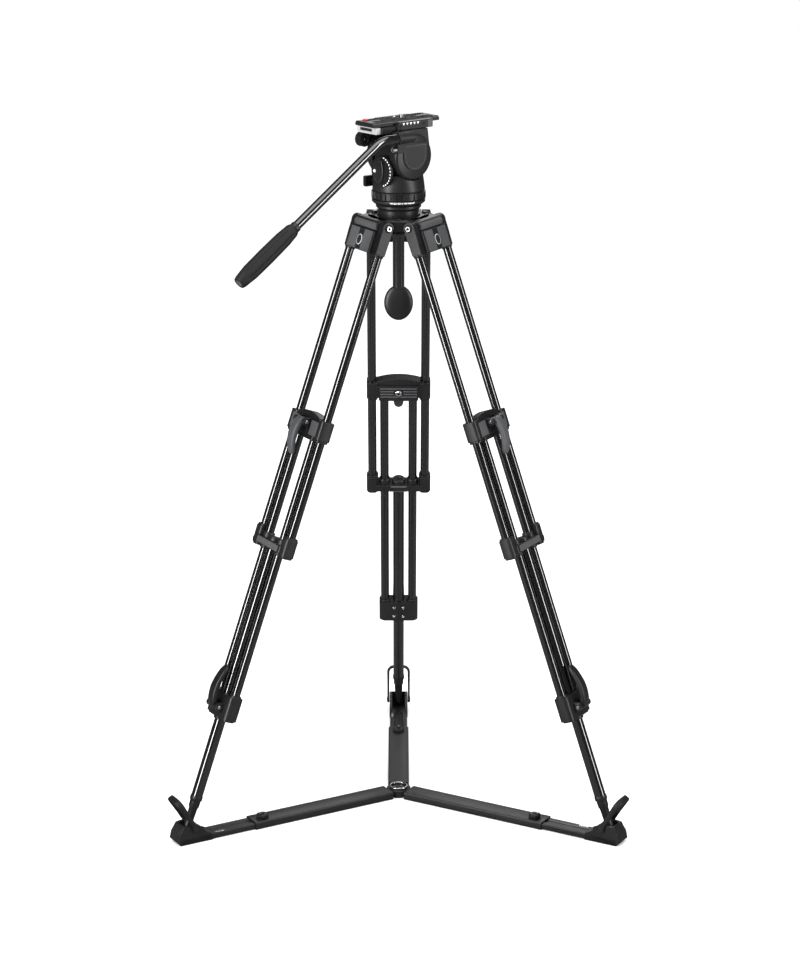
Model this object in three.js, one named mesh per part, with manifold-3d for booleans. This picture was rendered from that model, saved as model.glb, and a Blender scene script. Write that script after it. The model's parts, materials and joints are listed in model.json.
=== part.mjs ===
// A three-leg camera tripod with a fluid head and a floor spreader, as separate named parts.
// Millimetres, +Z up, origin on the floor at the spreader's hub. The rear leg points along +Y.
import * as THREE from 'three';
import { mergeVertices } from 'three/addons/utils/BufferGeometryUtils.js';
import Module from 'manifold-3d';

const wasm = await Module();
wasm.setup();

// Driving dimensions
const GAP = 0.3; // clearance between neighbouring parts
const LEGS = { rear: 0, left: 120, right: -120 }; // azimuth of each leg and spreader arm, degrees
const LEAN = 19.96; // leg angle from vertical, degrees
const HINGE_R = 52.5; // leg hinge, distance from the vertical axis
const HINGE_Z = 1082.3;
const BALL_Z = 1099; // centre of the levelling half ball
const BOWL_R = 37.5;
const HEAD_TURN = -50.3; // pan direction of the head, degrees
const TILT_Z = 1200.7; // tilt axis height
const BED_Z = 1248; // underside of the plate bed
const PLATE_Z = 1256; // underside of the sliding camera plate
const BAR_DROP = 33.9; // slope of the pan bar, degrees

// Leg sections, as distances down the leg from its hinge
const OUTER_X = 49.35; // half spacing of the outer tubes
const INNER_X = 26.45; // half spacing of the inner tubes
const TUBE_R = 8;
const WALL = 1.6;
const CENTRE_R = 10.5;
const PIN_R = 5; // leg hinge pin
const EAR = { in: 41, out: 56.5, round: 11, depth: 19 };
const BLOCK_TOP = { from: 9, to: 50, back: -9, front: 16, relief: 17 };
const CLAMP = { top: 351, end: 392, half: 58.5, depth: 14, step: 8, pin: 364 };
const YOKE = { top: 568, end: 601, ear: 11, earDepth: 13, depth: 15, barFrom: 3, barTo: 17, bore: 13.2 };
const COLLAR = { top: 869, end: 915, half: 38, depth: 14, pin: 894 };
const LUG = { x: 16, half: 4, from: 13, to: 27, reach: 11 }; // lever lugs on a clamp
const LEVER = { y: 21, width: 22, eye: 6.5, pin: 3, upper: 66, lower: 78 };
const CENTRE_TOP = 577;
const TUBE_END = 1072;
const PLUG = { radius: 12.6, bore: 8, height: 12 };
const FERRULE = { top: 9.6, end: 7.5 };
const FOOT_R = 9;
const FOOT_S = 1128.6; // centre of the rounded foot

// Spreader, as distances from the hub
const HUB_R = 22;
const SLEEVE = { from: 23, to: 308, width: 39, height: 14, mouth: 150, floor: 1, roof: 12 };
const BAR = { from: 195, width: 34, base: 1.4, top: 11.6 };
const GROOVE = { half: 7, from: 315, to: 364, depth: 2 };
const BLOCK = { from: 372, to: 463, width: 36, height: 35, seat: 12.5 };
const LATCH = { r: 427, z: 27.5, lean: 31, x: 20.6, thick: 4.4, width: 9, reach: 70, eye: 7, pin: 4 };
const KNOB = { r: 285, radius: 11, top: 20, nib: 3.5, nibTop: 23.5 };
const RING = { radius: 15.5, wire: 2 }; // lifting ring on the hub

// Crown and bowl clamp
const CROWN = { radius: 56, base: 1073, top: 1093, wing: 40.5, reach: 15.2, throat: 28.8 };
const HEX = { radius: 7, from: 56.8, to: 60.3 }; // hinge bolt heads
const CUP = 22; // depth of the half ball below its centre
const NECK = { radius: 36, flare: 1106, flange: 40, shoulder: 1109, top: 1113.8 };
const WASHER = { radius: 25, from: 1064, to: 1069 };
const HANDLE = { stem: 6, from: 950, paddle: [26, 9, 32], z: 936.5 };
const LEVEL = { x: -41.6, y: 24, radius: 6.5, height: 5 };

// Head: X along the tilt axis, Y to the lens side
const SCALE = { radius: 47, waist: 41, edge: 1118.8, top: 1123.3 };
const DRAG = { radius: 46, top: 1138.7, ribs: 24, ribDepth: 4, ribWidth: 3.5, bore: 24 };
const CONE = { lip: 2.2, waist: 42.5, top: 1168 };
const CORE = { half: 23.5, round: 34, foot: 1160, back: -36, front: 34 };
const CHEEK = { in: 24, out: 38, radius: 41, depth: 35, shoulder: 15 }; // shoulder angle, degrees
const COVER = { radius: 40.5, edge: 38.5, face: 43 };
const BADGE = { radius: 26.5, y: 1, z: 1203.5, top: 1225, face: 46 };
const DIAL = { x: 8, z: 1176, radius: 27.5, seat: 25, back: -41.6, face: -46.5, bar: 4, barTop: -49 };
const KNUCKLE = { y: -56.8, z: 1229.5, radius: 13.5, from: -34.6, to: -21.3, flutes: 9, flute: 2.2 };
const BRACKET = { from: -41.5, to: -35, end: -62, low: 1222, high: 1237 };
const BRAKE = { y: -14, z: 1150, radius: 9, seat: -46, face: -54, end: -36, half: 10 };
const BED = { half: 30, foot: 36, back: -62, front: 48, footBack: -30, footTop: 1252, nose: 1243.6 };
const RAIL = { in: 25.8, out: 36, top: 1262.7 };
const PLATE = { half: 25.2, back: -77, front: 72, edge: 1260.7, top: 1264.2, bevel: 4 };
const SLOT = { half: 4, from: -42, to: 40, counter: 8, margin: 4, roof: 1259.7 };
const SAFETY = { x: -12, y: -64, radius: 5, floor: 1261.3, from: 1262.9, to: 1266.9 };
const RELEASE = { half: 27, from: -71, low: 1243.7, slot: [-18, 12], slotLow: 1247.7, slotHigh: 1252.7 };
const SCREW = { y: 6, shank: 3.2, head: 7.4, from: 1257.7, headTop: 1259.2, top: 1270.7 };

// Pan bar: its own plane lies beside the right cover
const BAR_X = 57;
const BARREL = { radius: 10.5, from: -50, to: -15, z: 1239 };
const ROSETTE = { radius: 9, y: -26 };
const BAR_LUG = { from: 49, to: 58, back: -50, front: -31, low: 1212, high: 1232 };
const BAR_SCREW = { x: 53, z: 1219.5, radius: 4.8, length: 8 };
const LEAD = 18; // level start of the pan bar
const BEND = 55; // radius of its bend
const STRAIGHT = 212.5;
const GRIP_LENGTH = 140;

const rad = THREE.MathUtils.degToRad;
const finishes = {
  tube: [0x0b0b0d, 0.28, 0.9],
  casting: [0x2a2b2c, 0.5, 0.6],
  cover: [0x333435, 0.45, 0.5],
  plastic: [0x141415, 0.55, 0.0],
  rubber: [0x0d0d0e, 0.8, 0.0],
  steel: [0xc9cacc, 0.25, 1.0],
  red: [0x8f1020, 0.45, 0.0],
};

// Solids
function solid(geometry) {
  const bare = geometry.clone();
  bare.deleteAttribute('normal');
  bare.deleteAttribute('uv');
  const merged = mergeVertices(bare, 1e-4);
  return new wasm.Manifold(new wasm.Mesh({
    numProp: 3,
    vertProperties: new Float32Array(merged.attributes.position.array),
    triVerts: new Uint32Array(merged.index.array),
  }));
}

function box(width, depth, height, x, y, z) {
  const shape = new THREE.BoxGeometry(width, depth, height);
  return solid(shape.translate(x, y, z));
}

// A box given by its limits along X, Y and Z
function block([x0, x1], [y0, y1], [z0, z1]) {
  return box(x1 - x0, y1 - y0, z1 - z0, (x0 + x1) / 2, (y0 + y1) / 2, (z0 + z1) / 2);
}

// A cylinder from one height to another along an axis, with the other two coordinates of its centre
function rod(radius, axis, from, to, a = 0, b = 0, segments = 16, endRadius = radius) {
  const shape = new THREE.CylinderGeometry(endRadius, radius, to - from, segments);
  const middle = (from + to) / 2;
  if (axis === 'z') shape.rotateX(Math.PI / 2).translate(a, b, middle);
  if (axis === 'y') shape.translate(a, middle, b);
  if (axis === 'x') shape.rotateZ(-Math.PI / 2).translate(middle, a, b);
  return solid(shape);
}

function pipe(outer, inner, from, to, x, y, segments = 16) {
  const bore = rod(inner, 'z', from - 1, to + 1, x, y, segments);
  return rod(outer, 'z', from, to, x, y, segments).subtract(bore);
}

// A lathe turned about Z from (radius, height) points that start and end on the axis
function turned(points, segments = 36) {
  const profile = points.map(([r, z]) => new THREE.Vector2(r, z));
  return solid(new THREE.LatheGeometry(profile, segments).rotateX(Math.PI / 2));
}

// A prism of a (y, z) outline between two x values
function slab(points, x0, x1) {
  const outline = new THREE.Shape(points.map(([y, z]) => new THREE.Vector2(y, z)));
  const shape = new THREE.ExtrudeGeometry(outline, { depth: x1 - x0, bevelEnabled: false });
  const swap = new THREE.Matrix4().set(0, 0, 1, x0, 1, 0, 0, 0, 0, 1, 0, 0, 0, 0, 0, 1);
  return solid(shape.applyMatrix4(swap));
}

function arc(cy, cz, radius, start, end, steps) {
  return Array.from({ length: steps + 1 }, (_, i) => {
    const angle = rad(start + (end - start) * i / steps);
    return [cy + radius * Math.cos(angle), cz + radius * Math.sin(angle)];
  });
}

const join = (...pieces) => wasm.Manifold.union(pieces);

// Back from a manifold solid to a named three mesh
function part(name, shape, finish) {
  const mesh = shape.getMesh();
  const geometry = new THREE.BufferGeometry();
  geometry.setAttribute('position', new THREE.BufferAttribute(new Float32Array(mesh.vertProperties), 3));
  geometry.setIndex(new THREE.BufferAttribute(new Uint32Array(mesh.triVerts), 1));
  geometry.computeVertexNormals();
  const [color, roughness, metalness] = finishes[finish];
  const made = new THREE.Mesh(geometry, new THREE.MeshStandardMaterial({ color, roughness, metalness }));
  made.name = name;
  return made;
}

// Leg pieces: X along the hinge, Y outward, Z up the leg from its hinge
function topBlock() {
  const { from, to, back, front, relief } = BLOCK_TOP;
  const plate = block([-EAR.in - 1, EAR.in + 1], [back, front], [-to, -from]);
  const width = EAR.out - EAR.in;
  const ears = [-1, 1].map((side) => {
    const middle = side * (EAR.in + EAR.out) / 2;
    const cheek = box(width, EAR.depth, to, middle, 0, -to / 2);
    const round = rod(EAR.round, 'x', middle - width / 2, middle + width / 2, 0, 0, 20);
    return cheek.add(round);
  });
  const bore = rod(PIN_R + GAP, 'x', -EAR.out - 1, EAR.out + 1, 0, 0, 12);
  const hollow = rod(relief, 'x', -EAR.in, EAR.in, 0, 0, 16); // room for the crown's wing
  return join(plate, ...ears).subtract(hollow).subtract(bore);
}

function tubePair(x, from, to) {
  return [-1, 1].map((side) => pipe(TUBE_R, TUBE_R - WALL, -to, -from, side * x, 0));
}

function borePair(x, from, to) {
  return [-1, 1].map((side) => rod(TUBE_R + GAP, 'z', -to - 1, -from + 1, side * x, 0));
}

function outerFrame() {
  const { top, end, ear, earDepth, depth, barFrom, barTo, bore } = YOKE;
  const tubes = tubePair(OUTER_X, BLOCK_TOP.to + GAP, end - 6);
  const ears = [-1, 1].map((side) => block(
    [side * OUTER_X - ear, side * OUTER_X + ear], [-earDepth, earDepth], [-end, -top]));
  const bar = block([-OUTER_X, OUTER_X], [-depth, depth], [barFrom - end, barTo - end]);
  const centre = rod(bore, 'z', -end - 1, -top + 1);
  return join(...tubes, ...ears, bar).subtract(join(...borePair(INNER_X, top, end), centre));
}

// Two lugs with the pin that a clamp lever turns on
function leverLugs(pin) {
  const { x, half, from, to, reach } = LUG;
  const lugs = [-1, 1].map((side) => block(
    [side * x - half, side * x + half], [from, to], [-pin - reach, -pin + reach]));
  return join(...lugs, rod(LEVER.pin, 'x', half - x - 1, x - half + 1, LEVER.y, -pin, 10));
}

function clampHousing() {
  const { top, end, half, depth, step, pin } = CLAMP;
  const body = block([-half, half], [-depth, depth], [step - end, -top]);
  const socket = block([-37, 37], [-12, 12], [-end, step - end + 1]);
  return join(body, socket, leverLugs(pin)).subtract(join(...borePair(OUTER_X, top, end)));
}

// A curved lever from its pivot, running down (-1) or up (1) the leg
function lever(z, way, length) {
  const { y, eye, pin, width } = LEVER;
  const start = way < 0 ? 0 : -180;
  const round = arc(y, z, eye, start, start + 180, 6).slice(1);
  const outline = way < 0
    ? [[y + eye, z], ...round, [y - 4, z - 18], [y - 3, z - length + 4], [y + 1, z - length],
      [y + 6, z - length + 8], [y + 12, z - length * 0.7], [y + 13, z - length * 0.4]]
    : [[y - eye, z], ...round, [y + 13, z + length * 0.3], [y + 12, z + length * 0.62],
      [y + 7, z + length - 6], [y - 1, z + length], [y - 4, z + length - 3], [y - 4, z + 18]];
  const hole = rod(pin + GAP, 'x', -width, width, y, z, 10);
  return slab(outline, -width / 2, width / 2).subtract(hole);
}

function innerFrame() {
  const { top, end, half, depth, pin } = COLLAR;
  const tubes = tubePair(INNER_X, CLAMP.end + GAP, end - 8);
  const body = block([-half, half], [-depth, depth], [-end, -top]);
  const bore = rod(CENTRE_R + GAP, 'z', -end - 1, -top + 1);
  return join(...tubes, body, leverLugs(pin)).subtract(bore);
}

function lowerTube() {
  const tube = pipe(CENTRE_R, CENTRE_R - WALL, -TUBE_END, -CENTRE_TOP, 0, 0);
  const plug = pipe(PLUG.radius, PLUG.bore, -CENTRE_TOP - PLUG.height, -CENTRE_TOP, 0, 0);
  const ferrule = rod(FERRULE.end, 'z', -FOOT_S, -TUBE_END + 1, 0, 0, 16, FERRULE.top);
  const tip = solid(new THREE.SphereGeometry(FOOT_R, 12, 8).translate(0, 0, -FOOT_S));
  return join(tube, plug, ferrule, tip);
}

// Spreader pieces: Y along the arm from the hub
function sleeve() {
  const half = SLEEVE.width / 2;
  const clear = BAR.width / 2 + GAP;
  const outside = block([-half, half], [SLEEVE.from, SLEEVE.to], [0, SLEEVE.height]);
  const channel = block([-clear, clear], [SLEEVE.mouth, SLEEVE.to + 1], [SLEEVE.floor, SLEEVE.roof]);
  return outside.subtract(channel);
}

function outerBar() {
  const half = BAR.width / 2;
  const side = BLOCK.width / 2;
  const bar = block([-half, half], [BAR.from, BLOCK.from + 5], [BAR.base, BAR.top]);
  const groove = block([-GROOVE.half, GROOVE.half], [GROOVE.from, GROOVE.to],
    [BAR.top - GROOVE.depth, BAR.top + 1]);
  const wedge = slab([[BLOCK.from, 0], [BLOCK.to - 6, 0], [BLOCK.to, 6], [BLOCK.to - 3, 20],
    [BLOCK.to - 12, BLOCK.height], [LATCH.r - 12, BLOCK.height], [BLOCK.from + 14, 16],
    [BLOCK.from, BAR.top]], -side, side);
  const seat = block([-BLOCK.seat, BLOCK.seat], [BLOCK.from - 1, BLOCK.to - 9],
    [BAR.top, BLOCK.height + 1]);
  const reach = LATCH.x + LATCH.thick / 2 + 0.7;
  const pins = [rod(LATCH.pin, 'x', -reach, 1 - side, LATCH.r, LATCH.z, 12),
    rod(LATCH.pin, 'x', side - 1, reach, LATCH.r, LATCH.z, 12)];
  return join(bar.subtract(groove), wedge.subtract(seat), ...pins);
}

function spreaderKnob() {
  const body = rod(KNOB.radius, 'z', SLEEVE.height + GAP, KNOB.top, 0, KNOB.r, 28, KNOB.radius - 1);
  const nib = block([-KNOB.nib, KNOB.nib], [KNOB.r - 4, KNOB.r + 10], [KNOB.top - 1, KNOB.nibTop]);
  return body.add(nib);
}

function footLatch() {
  const { x, thick, width, reach, eye, pin } = LATCH;
  const arms = [-1, 1].map((side) => {
    const arm = box(thick, width, reach, side * x, 0, reach / 2);
    return arm.add(rod(eye, 'x', side * x - thick / 2, side * x + thick / 2, 0, 0));
  });
  const outside = x + thick / 2;
  const cross = block([-outside, outside], [-5, 6], [reach - 14, reach]);
  const bore = rod(pin + GAP, 'x', -outside - 1, outside + 1, 0, 0, 12);
  const loop = join(...arms, cross).subtract(bore);
  return loop.rotate([-LATCH.lean, 0, 0]).translate([0, LATCH.r, LATCH.z]);
}

function hubRing() {
  const ring = new THREE.TorusGeometry(RING.radius, RING.wire, 6, 20);
  return solid(ring.translate(0, 0, SLEEVE.height + RING.wire + GAP));
}

// Crown, bowl and bowl clamp
function crownWing() {
  const { base, top, wing, reach } = CROWN;
  const outline = [[0, base], [HINGE_R + 5, base - 2.5], [HINGE_R + reach, HINGE_Z - 5],
    [HINGE_R + reach, HINGE_Z + 6], [HINGE_R + 10, top], [0, top]];
  const pin = rod(PIN_R, 'x', -HEX.from - 0.2, HEX.from + 0.2, HINGE_R, HINGE_Z, 12);
  const heads = [rod(HEX.radius, 'x', HEX.from, HEX.to, HINGE_R, HINGE_Z, 6),
    rod(HEX.radius, 'x', -HEX.to, -HEX.from, HINGE_R, HINGE_Z, 6)];
  return join(slab(outline, -wing, wing), pin, ...heads);
}

function crown() {
  const { radius, base, top, throat } = CROWN;
  const disc = rod(radius, 'z', base, top, 0, 0, 40);
  const wings = Object.values(LEGS).map((azimuth) => crownWing().rotate([0, 0, azimuth]));
  const bowl = solid(new THREE.SphereGeometry(BOWL_R, 32, 18).translate(0, 0, BALL_Z));
  const hole = rod(throat, 'z', base - 4, base + 3, 0, 0, 40);
  return join(disc, ...wings).subtract(bowl.add(hole));
}

function halfBall() {
  const { radius, flare, flange, shoulder, top } = NECK;
  const ball = solid(new THREE.SphereGeometry(BOWL_R - GAP, 32, 18).translate(0, 0, BALL_Z));
  const keep = block([-BOWL_R, BOWL_R], [-BOWL_R, BOWL_R], [BALL_Z - CUP, BALL_Z]);
  const neck = turned([[0, BALL_Z - 1], [radius, BALL_Z - 1], [radius, flare], [flange, shoulder],
    [flange, top], [0, top]], 40);
  return ball.intersect(keep).add(neck);
}

function bowlClampHandle() {
  const washer = rod(WASHER.radius, 'z', WASHER.from, WASHER.to, 0, 0, 24);
  const stem = rod(HANDLE.stem, 'z', WASHER.from + 2, BALL_Z - CUP - GAP, 0, 0, 12);
  const shaft = rod(CENTRE_R, 'z', HANDLE.from, WASHER.from + 1);
  const paddle = new THREE.SphereGeometry(1, 20, 10).scale(...HANDLE.paddle);
  return join(washer, stem, shaft, solid(paddle.translate(0, 0, HANDLE.z)));
}

function bubbleLevel() {
  const base = CROWN.top + GAP;
  return rod(LEVEL.radius, 'z', base, base + LEVEL.height, LEVEL.x, LEVEL.y, 24);
}

// Head
function scaleRing() {
  const base = NECK.top + GAP;
  return turned([[0, base], [SCALE.waist, base], [SCALE.radius, SCALE.edge], [SCALE.radius, SCALE.top],
    [0, SCALE.top]], 40);
}

function dragRing() {
  const base = SCALE.top + GAP;
  const height = DRAG.top - base;
  const body = rod(DRAG.radius, 'z', base, DRAG.top, 0, 0, 36);
  const rib = box(DRAG.ribDepth, DRAG.ribWidth, height - 3, 0, DRAG.radius, base + height / 2);
  const ribs = Array.from({ length: DRAG.ribs }, (_, i) => rib.rotate([0, 0, 360 * i / DRAG.ribs]));
  return join(body, ...ribs).subtract(rod(DRAG.bore, 'z', base - 1, DRAG.top + 1, 0, 0, 32));
}

function panBase() {
  const base = DRAG.top + GAP;
  const spigot = rod(DRAG.bore - GAP, 'z', SCALE.top + GAP, base + 1, 0, 0, 32);
  const cone = turned([[0, base], [DRAG.radius, base], [DRAG.radius, base + CONE.lip],
    [CONE.waist, CONE.top], [0, CONE.top]], 40);
  const core = slab([[CORE.back, CORE.foot], [CORE.front, CORE.foot],
    ...arc(0, TILT_Z, CORE.round, 0, 180, 20), [CORE.back, TILT_Z - 8]], -CORE.half, CORE.half);
  const dialSeat = rod(DIAL.seat, 'y', DIAL.back + GAP, -20, DIAL.x, DIAL.z, 40);
  const brakeSeat = rod(BRAKE.radius, 'x', BRAKE.seat, -30, BRAKE.y, BRAKE.z, 24);
  const body = join(spigot, cone, core, dialSeat, brakeSeat);
  const sweep = CHEEK.radius + 0.5; // room for the cheeks and covers to swing
  const swings = [rod(sweep, 'x', CORE.half, 60, 0, TILT_Z, 48),
    rod(sweep, 'x', -60, -CORE.half, 0, TILT_Z, 48)];
  const dialFlat = rod(DIAL.radius + 1, 'y', -60, DIAL.back + GAP, DIAL.x, DIAL.z, 48);
  return body.subtract(join(...swings, dialFlat));
}

function cheekOutline() {
  const { radius, depth, shoulder } = CHEEK;
  const top = BED_Z - GAP;
  return [...arc(0, TILT_Z, radius, 180 - shoulder, 360 + shoulder, 34), [depth, top], [-depth, top]];
}

function tiltBody() {
  const { in: inside, out, depth } = CHEEK;
  const cheeks = [slab(cheekOutline(), inside, out), slab(cheekOutline(), -out, -inside)];
  const bridge = block([-out, out], [-depth, depth], [BED_Z - 5.8, BED_Z - GAP]);
  const bracket = block([BRACKET.from, BRACKET.to], [BRACKET.end, -30], [BRACKET.low, BRACKET.high]);
  return join(...cheeks, bridge, bracket);
}

function sideCover(side) {
  const { radius, edge, face } = COVER;
  const seat = CHEEK.out + GAP;
  if (side < 0) return leftCover(radius, edge, seat, face);
  const disc = rod(radius, 'x', seat, face, 0, TILT_Z, 56, edge);
  const { radius: round, y, z, top } = BADGE;
  const badge = slab([...arc(y, z, round, 180, 360, 24), [y + round, top], [y - round, top]],
    face - 1, BADGE.face);
  return disc.add(badge);
}

// The left cover stops short of the balance knob's bracket
function leftCover(radius, edge, seat, face) {
  const disc = rod(edge, 'x', -face, -seat, 0, TILT_Z, 56, radius);
  const notch = block([-60, 0], [-60, -29], [BRACKET.low - 1, BRACKET.high + 1]);
  return disc.subtract(notch);
}

function dragDial() {
  const disc = rod(DIAL.radius, 'y', DIAL.face, DIAL.back, DIAL.x, DIAL.z, 48);
  const reach = DIAL.radius - 5;
  const bar = block([DIAL.x - DIAL.bar, DIAL.x + DIAL.bar], [DIAL.barTop, DIAL.face + 0.5],
    [DIAL.z - reach, DIAL.z + reach]);
  return disc.add(bar);
}

function balanceKnob() {
  const { y, z, radius, from, to, flutes, flute } = KNUCKLE;
  const body = rod(radius, 'x', from, to, y, z, 36);
  const cuts = Array.from({ length: flutes }, (_, i) => {
    const angle = rad(360 * i / flutes);
    const reach = radius + flute / 2;
    return rod(flute, 'x', from - 1, to + 1, y + reach * Math.cos(angle), z + reach * Math.sin(angle), 12);
  });
  return body.subtract(join(...cuts));
}

function panBrakeLever() {
  const { y, z, radius, seat, face, end, half } = BRAKE;
  const hub = rod(radius, 'x', face, seat - GAP, y, z, 28);
  const arm = block([face + 0.5, seat - 1], [end, y], [z - half, z + half]);
  return hub.add(arm);
}

function plateBed() {
  const { half, foot, back, front, footBack, footTop, nose } = BED;
  const bed = block([-half, half], [back, front], [BED_Z, PLATE_Z - GAP])
    .add(block([-half, half], [back, footBack - 7], [nose, BED_Z + 1]));
  const outline = [[footBack, BED_Z], [front, BED_Z], [front, RAIL.top], [footBack + 8, RAIL.top],
    [footBack, RAIL.top - 3]];
  const rails = [slab(outline, RAIL.in, RAIL.out), slab(outline, -RAIL.out, -RAIL.in)];
  const feet = block([-foot, foot], [footBack, front], [BED_Z, footTop]);
  return join(bed, feet, ...rails);
}

function cameraPlate() {
  const { half, back, front, edge, top, bevel } = PLATE;
  const plate = slab([[back, PLATE_Z], [front, PLATE_Z], [front, edge], [front - bevel, top],
    [back + bevel, top], [back, edge]], -half, half);
  const slot = block([-SLOT.half, SLOT.half], [SLOT.from, SLOT.to], [PLATE_Z - 1, top + 1]);
  const counter = block([-SLOT.counter, SLOT.counter], [SLOT.from - SLOT.margin, SLOT.to + SLOT.margin],
    [PLATE_Z - 1, SLOT.roof]);
  const pocket = rod(SAFETY.radius + 0.4, 'z', SAFETY.floor, top + 1, SAFETY.x, SAFETY.y, 24);
  return plate.subtract(join(slot, counter, pocket));
}

function releaseFrame() {
  const { half, from, low, slot, slotLow, slotHigh } = RELEASE;
  const frame = block([-half, half], [from, BED.back - GAP], [low, PLATE_Z - 0.6]);
  return frame.subtract(block(slot, [from - 1, from + 4], [slotLow, slotHigh]));
}

function safetyButton() {
  return rod(SAFETY.radius, 'z', SAFETY.from, SAFETY.to, SAFETY.x, SAFETY.y, 24);
}

function cameraScrew() {
  const shank = rod(SCREW.shank, 'z', SCREW.from, SCREW.top, 0, SCREW.y, 20);
  return shank.add(rod(SCREW.head, 'z', PLATE_Z + GAP, SCREW.headTop, 0, SCREW.y, 28));
}

// Pan bar
function panBarClamp() {
  const barrel = rod(BARREL.radius, 'y', BARREL.from, BARREL.to, BAR_X, BARREL.z, 32);
  const rosette = rod(ROSETTE.radius, 'x', COVER.face + GAP, BAR_X - 6, ROSETTE.y, BARREL.z, 28);
  const lug = block([BAR_LUG.from, BAR_LUG.to], [BAR_LUG.back, BAR_LUG.front],
    [BAR_LUG.low, BAR_LUG.high]);
  return join(barrel, rosette, lug);
}

function clampScrew() {
  const start = BAR_LUG.back - GAP;
  return rod(BAR_SCREW.radius, 'y', start - BAR_SCREW.length, start, BAR_SCREW.x, BAR_SCREW.z);
}

// A level lead, one bend and a straight slope
class BarPath extends THREE.Curve {
  getPoint(t, target = new THREE.Vector3()) {
    const turn = rad(BAR_DROP);
    const arcLength = BEND * turn;
    const s = t * (LEAD + arcLength + STRAIGHT);
    const angle = Math.min(Math.max(s - LEAD, 0), arcLength) / BEND;
    const rest = Math.max(s - LEAD - arcLength, 0);
    const y = BARREL.from - GAP - Math.min(s, LEAD) - BEND * Math.sin(angle) - rest * Math.cos(turn);
    const z = BARREL.z - BEND * (1 - Math.cos(angle)) - rest * Math.sin(turn);
    return target.set(BAR_X, y, z);
  }
}

function panBar() {
  const section = new THREE.Shape();
  section.absarc(0, 0, TUBE_R, 0, Math.PI * 2);
  const path = new BarPath();
  path.arcLengthDivisions = 400;
  const settings = { steps: 14, extrudePath: path, curveSegments: 8, bevelEnabled: false };
  return solid(new THREE.ExtrudeGeometry(section, settings));
}

function panBarGrip() {
  const end = new BarPath().getPoint(1);
  const profile = [[0, 0.5], [10.5, 0.5], [13, 6], [15, 24], [15.6, 60], [15, 110], [12.6, 132],
    [10.5, GRIP_LENGTH], [0, GRIP_LENGTH]];
  return turned(profile, 20).rotate([90 + BAR_DROP, 0, 0]).translate([end.x, end.y, end.z]);
}

// Assembly
const group = new THREE.Group();

function addTo(parent, pieces) {
  for (const [name, shape, finish] of pieces) parent.add(part(name, shape, finish));
}

function buildLeg(side, azimuth) {
  const turn = new THREE.Group();
  turn.rotation.z = rad(azimuth);
  const leg = new THREE.Group();
  leg.position.set(0, HINGE_R, HINGE_Z);
  leg.rotation.x = rad(LEAN);
  addTo(leg, [
    [`top_block_${side}`, topBlock(), 'casting'],
    [`outer_frame_${side}`, outerFrame(), 'tube'],
    [`clamp_housing_${side}`, clampHousing(), 'casting'],
    [`upper_lever_${side}`, lever(-CLAMP.pin, -1, LEVER.upper), 'plastic'],
    [`inner_frame_${side}`, innerFrame(), 'tube'],
    [`lower_lever_${side}`, lever(-COLLAR.pin, 1, LEVER.lower), 'plastic'],
    [`lower_tube_${side}`, lowerTube(), 'tube'],
  ]);
  turn.add(leg);
  return turn;
}

function buildArm(side, azimuth) {
  const arm = new THREE.Group();
  arm.rotation.z = rad(azimuth);
  addTo(arm, [
    [`spreader_sleeve_${side}`, sleeve(), 'casting'],
    [`spreader_bar_${side}`, outerBar(), 'plastic'],
    [`spreader_knob_${side}`, spreaderKnob(), 'plastic'],
    [`foot_latch_${side}`, footLatch(), 'rubber'],
  ]);
  return arm;
}

function buildHead() {
  const head = new THREE.Group();
  head.rotation.z = rad(HEAD_TURN);
  addTo(head, [
    ['pan_scale_ring', scaleRing(), 'casting'],
    ['pan_drag_ring', dragRing(), 'plastic'],
    ['pan_base', panBase(), 'casting'],
    ['tilt_body', tiltBody(), 'casting'],
    ['side_cover_right', sideCover(1), 'cover'],
    ['side_cover_left', sideCover(-1), 'cover'],
    ['tilt_drag_dial', dragDial(), 'plastic'],
    ['counterbalance_knob', balanceKnob(), 'plastic'],
    ['pan_brake_lever', panBrakeLever(), 'plastic'],
    ['plate_bed', plateBed(), 'casting'],
    ['camera_plate', cameraPlate(), 'casting'],
    ['plate_release_frame', releaseFrame(), 'steel'],
    ['plate_safety_button', safetyButton(), 'red'],
    ['camera_screw', cameraScrew(), 'steel'],
    ['pan_bar_clamp', panBarClamp(), 'casting'],
    ['pan_bar_clamp_knob', clampScrew(), 'plastic'],
    ['pan_bar', panBar(), 'tube'],
    ['pan_bar_grip', panBarGrip(), 'rubber'],
  ]);
  return head;
}

for (const [side, azimuth] of Object.entries(LEGS)) {
  group.add(buildLeg(side, azimuth));
  group.add(buildArm(side, azimuth));
}
addTo(group, [
  ['spreader_hub', rod(HUB_R, 'z', 0, SLEEVE.height, 0, 0, 32), 'casting'],
  ['hub_ring', hubRing(), 'steel'],
  ['crown', crown(), 'casting'],
  ['half_ball', halfBall(), 'casting'],
  ['bowl_clamp_handle', bowlClampHandle(), 'plastic'],
  ['bubble_level', bubbleLevel(), 'steel'],
]);
group.add(buildHead());

export default group;
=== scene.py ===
import json
from math import pi

import bmesh
import bpy
import numpy as np
from mathutils import Matrix, Vector


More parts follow.
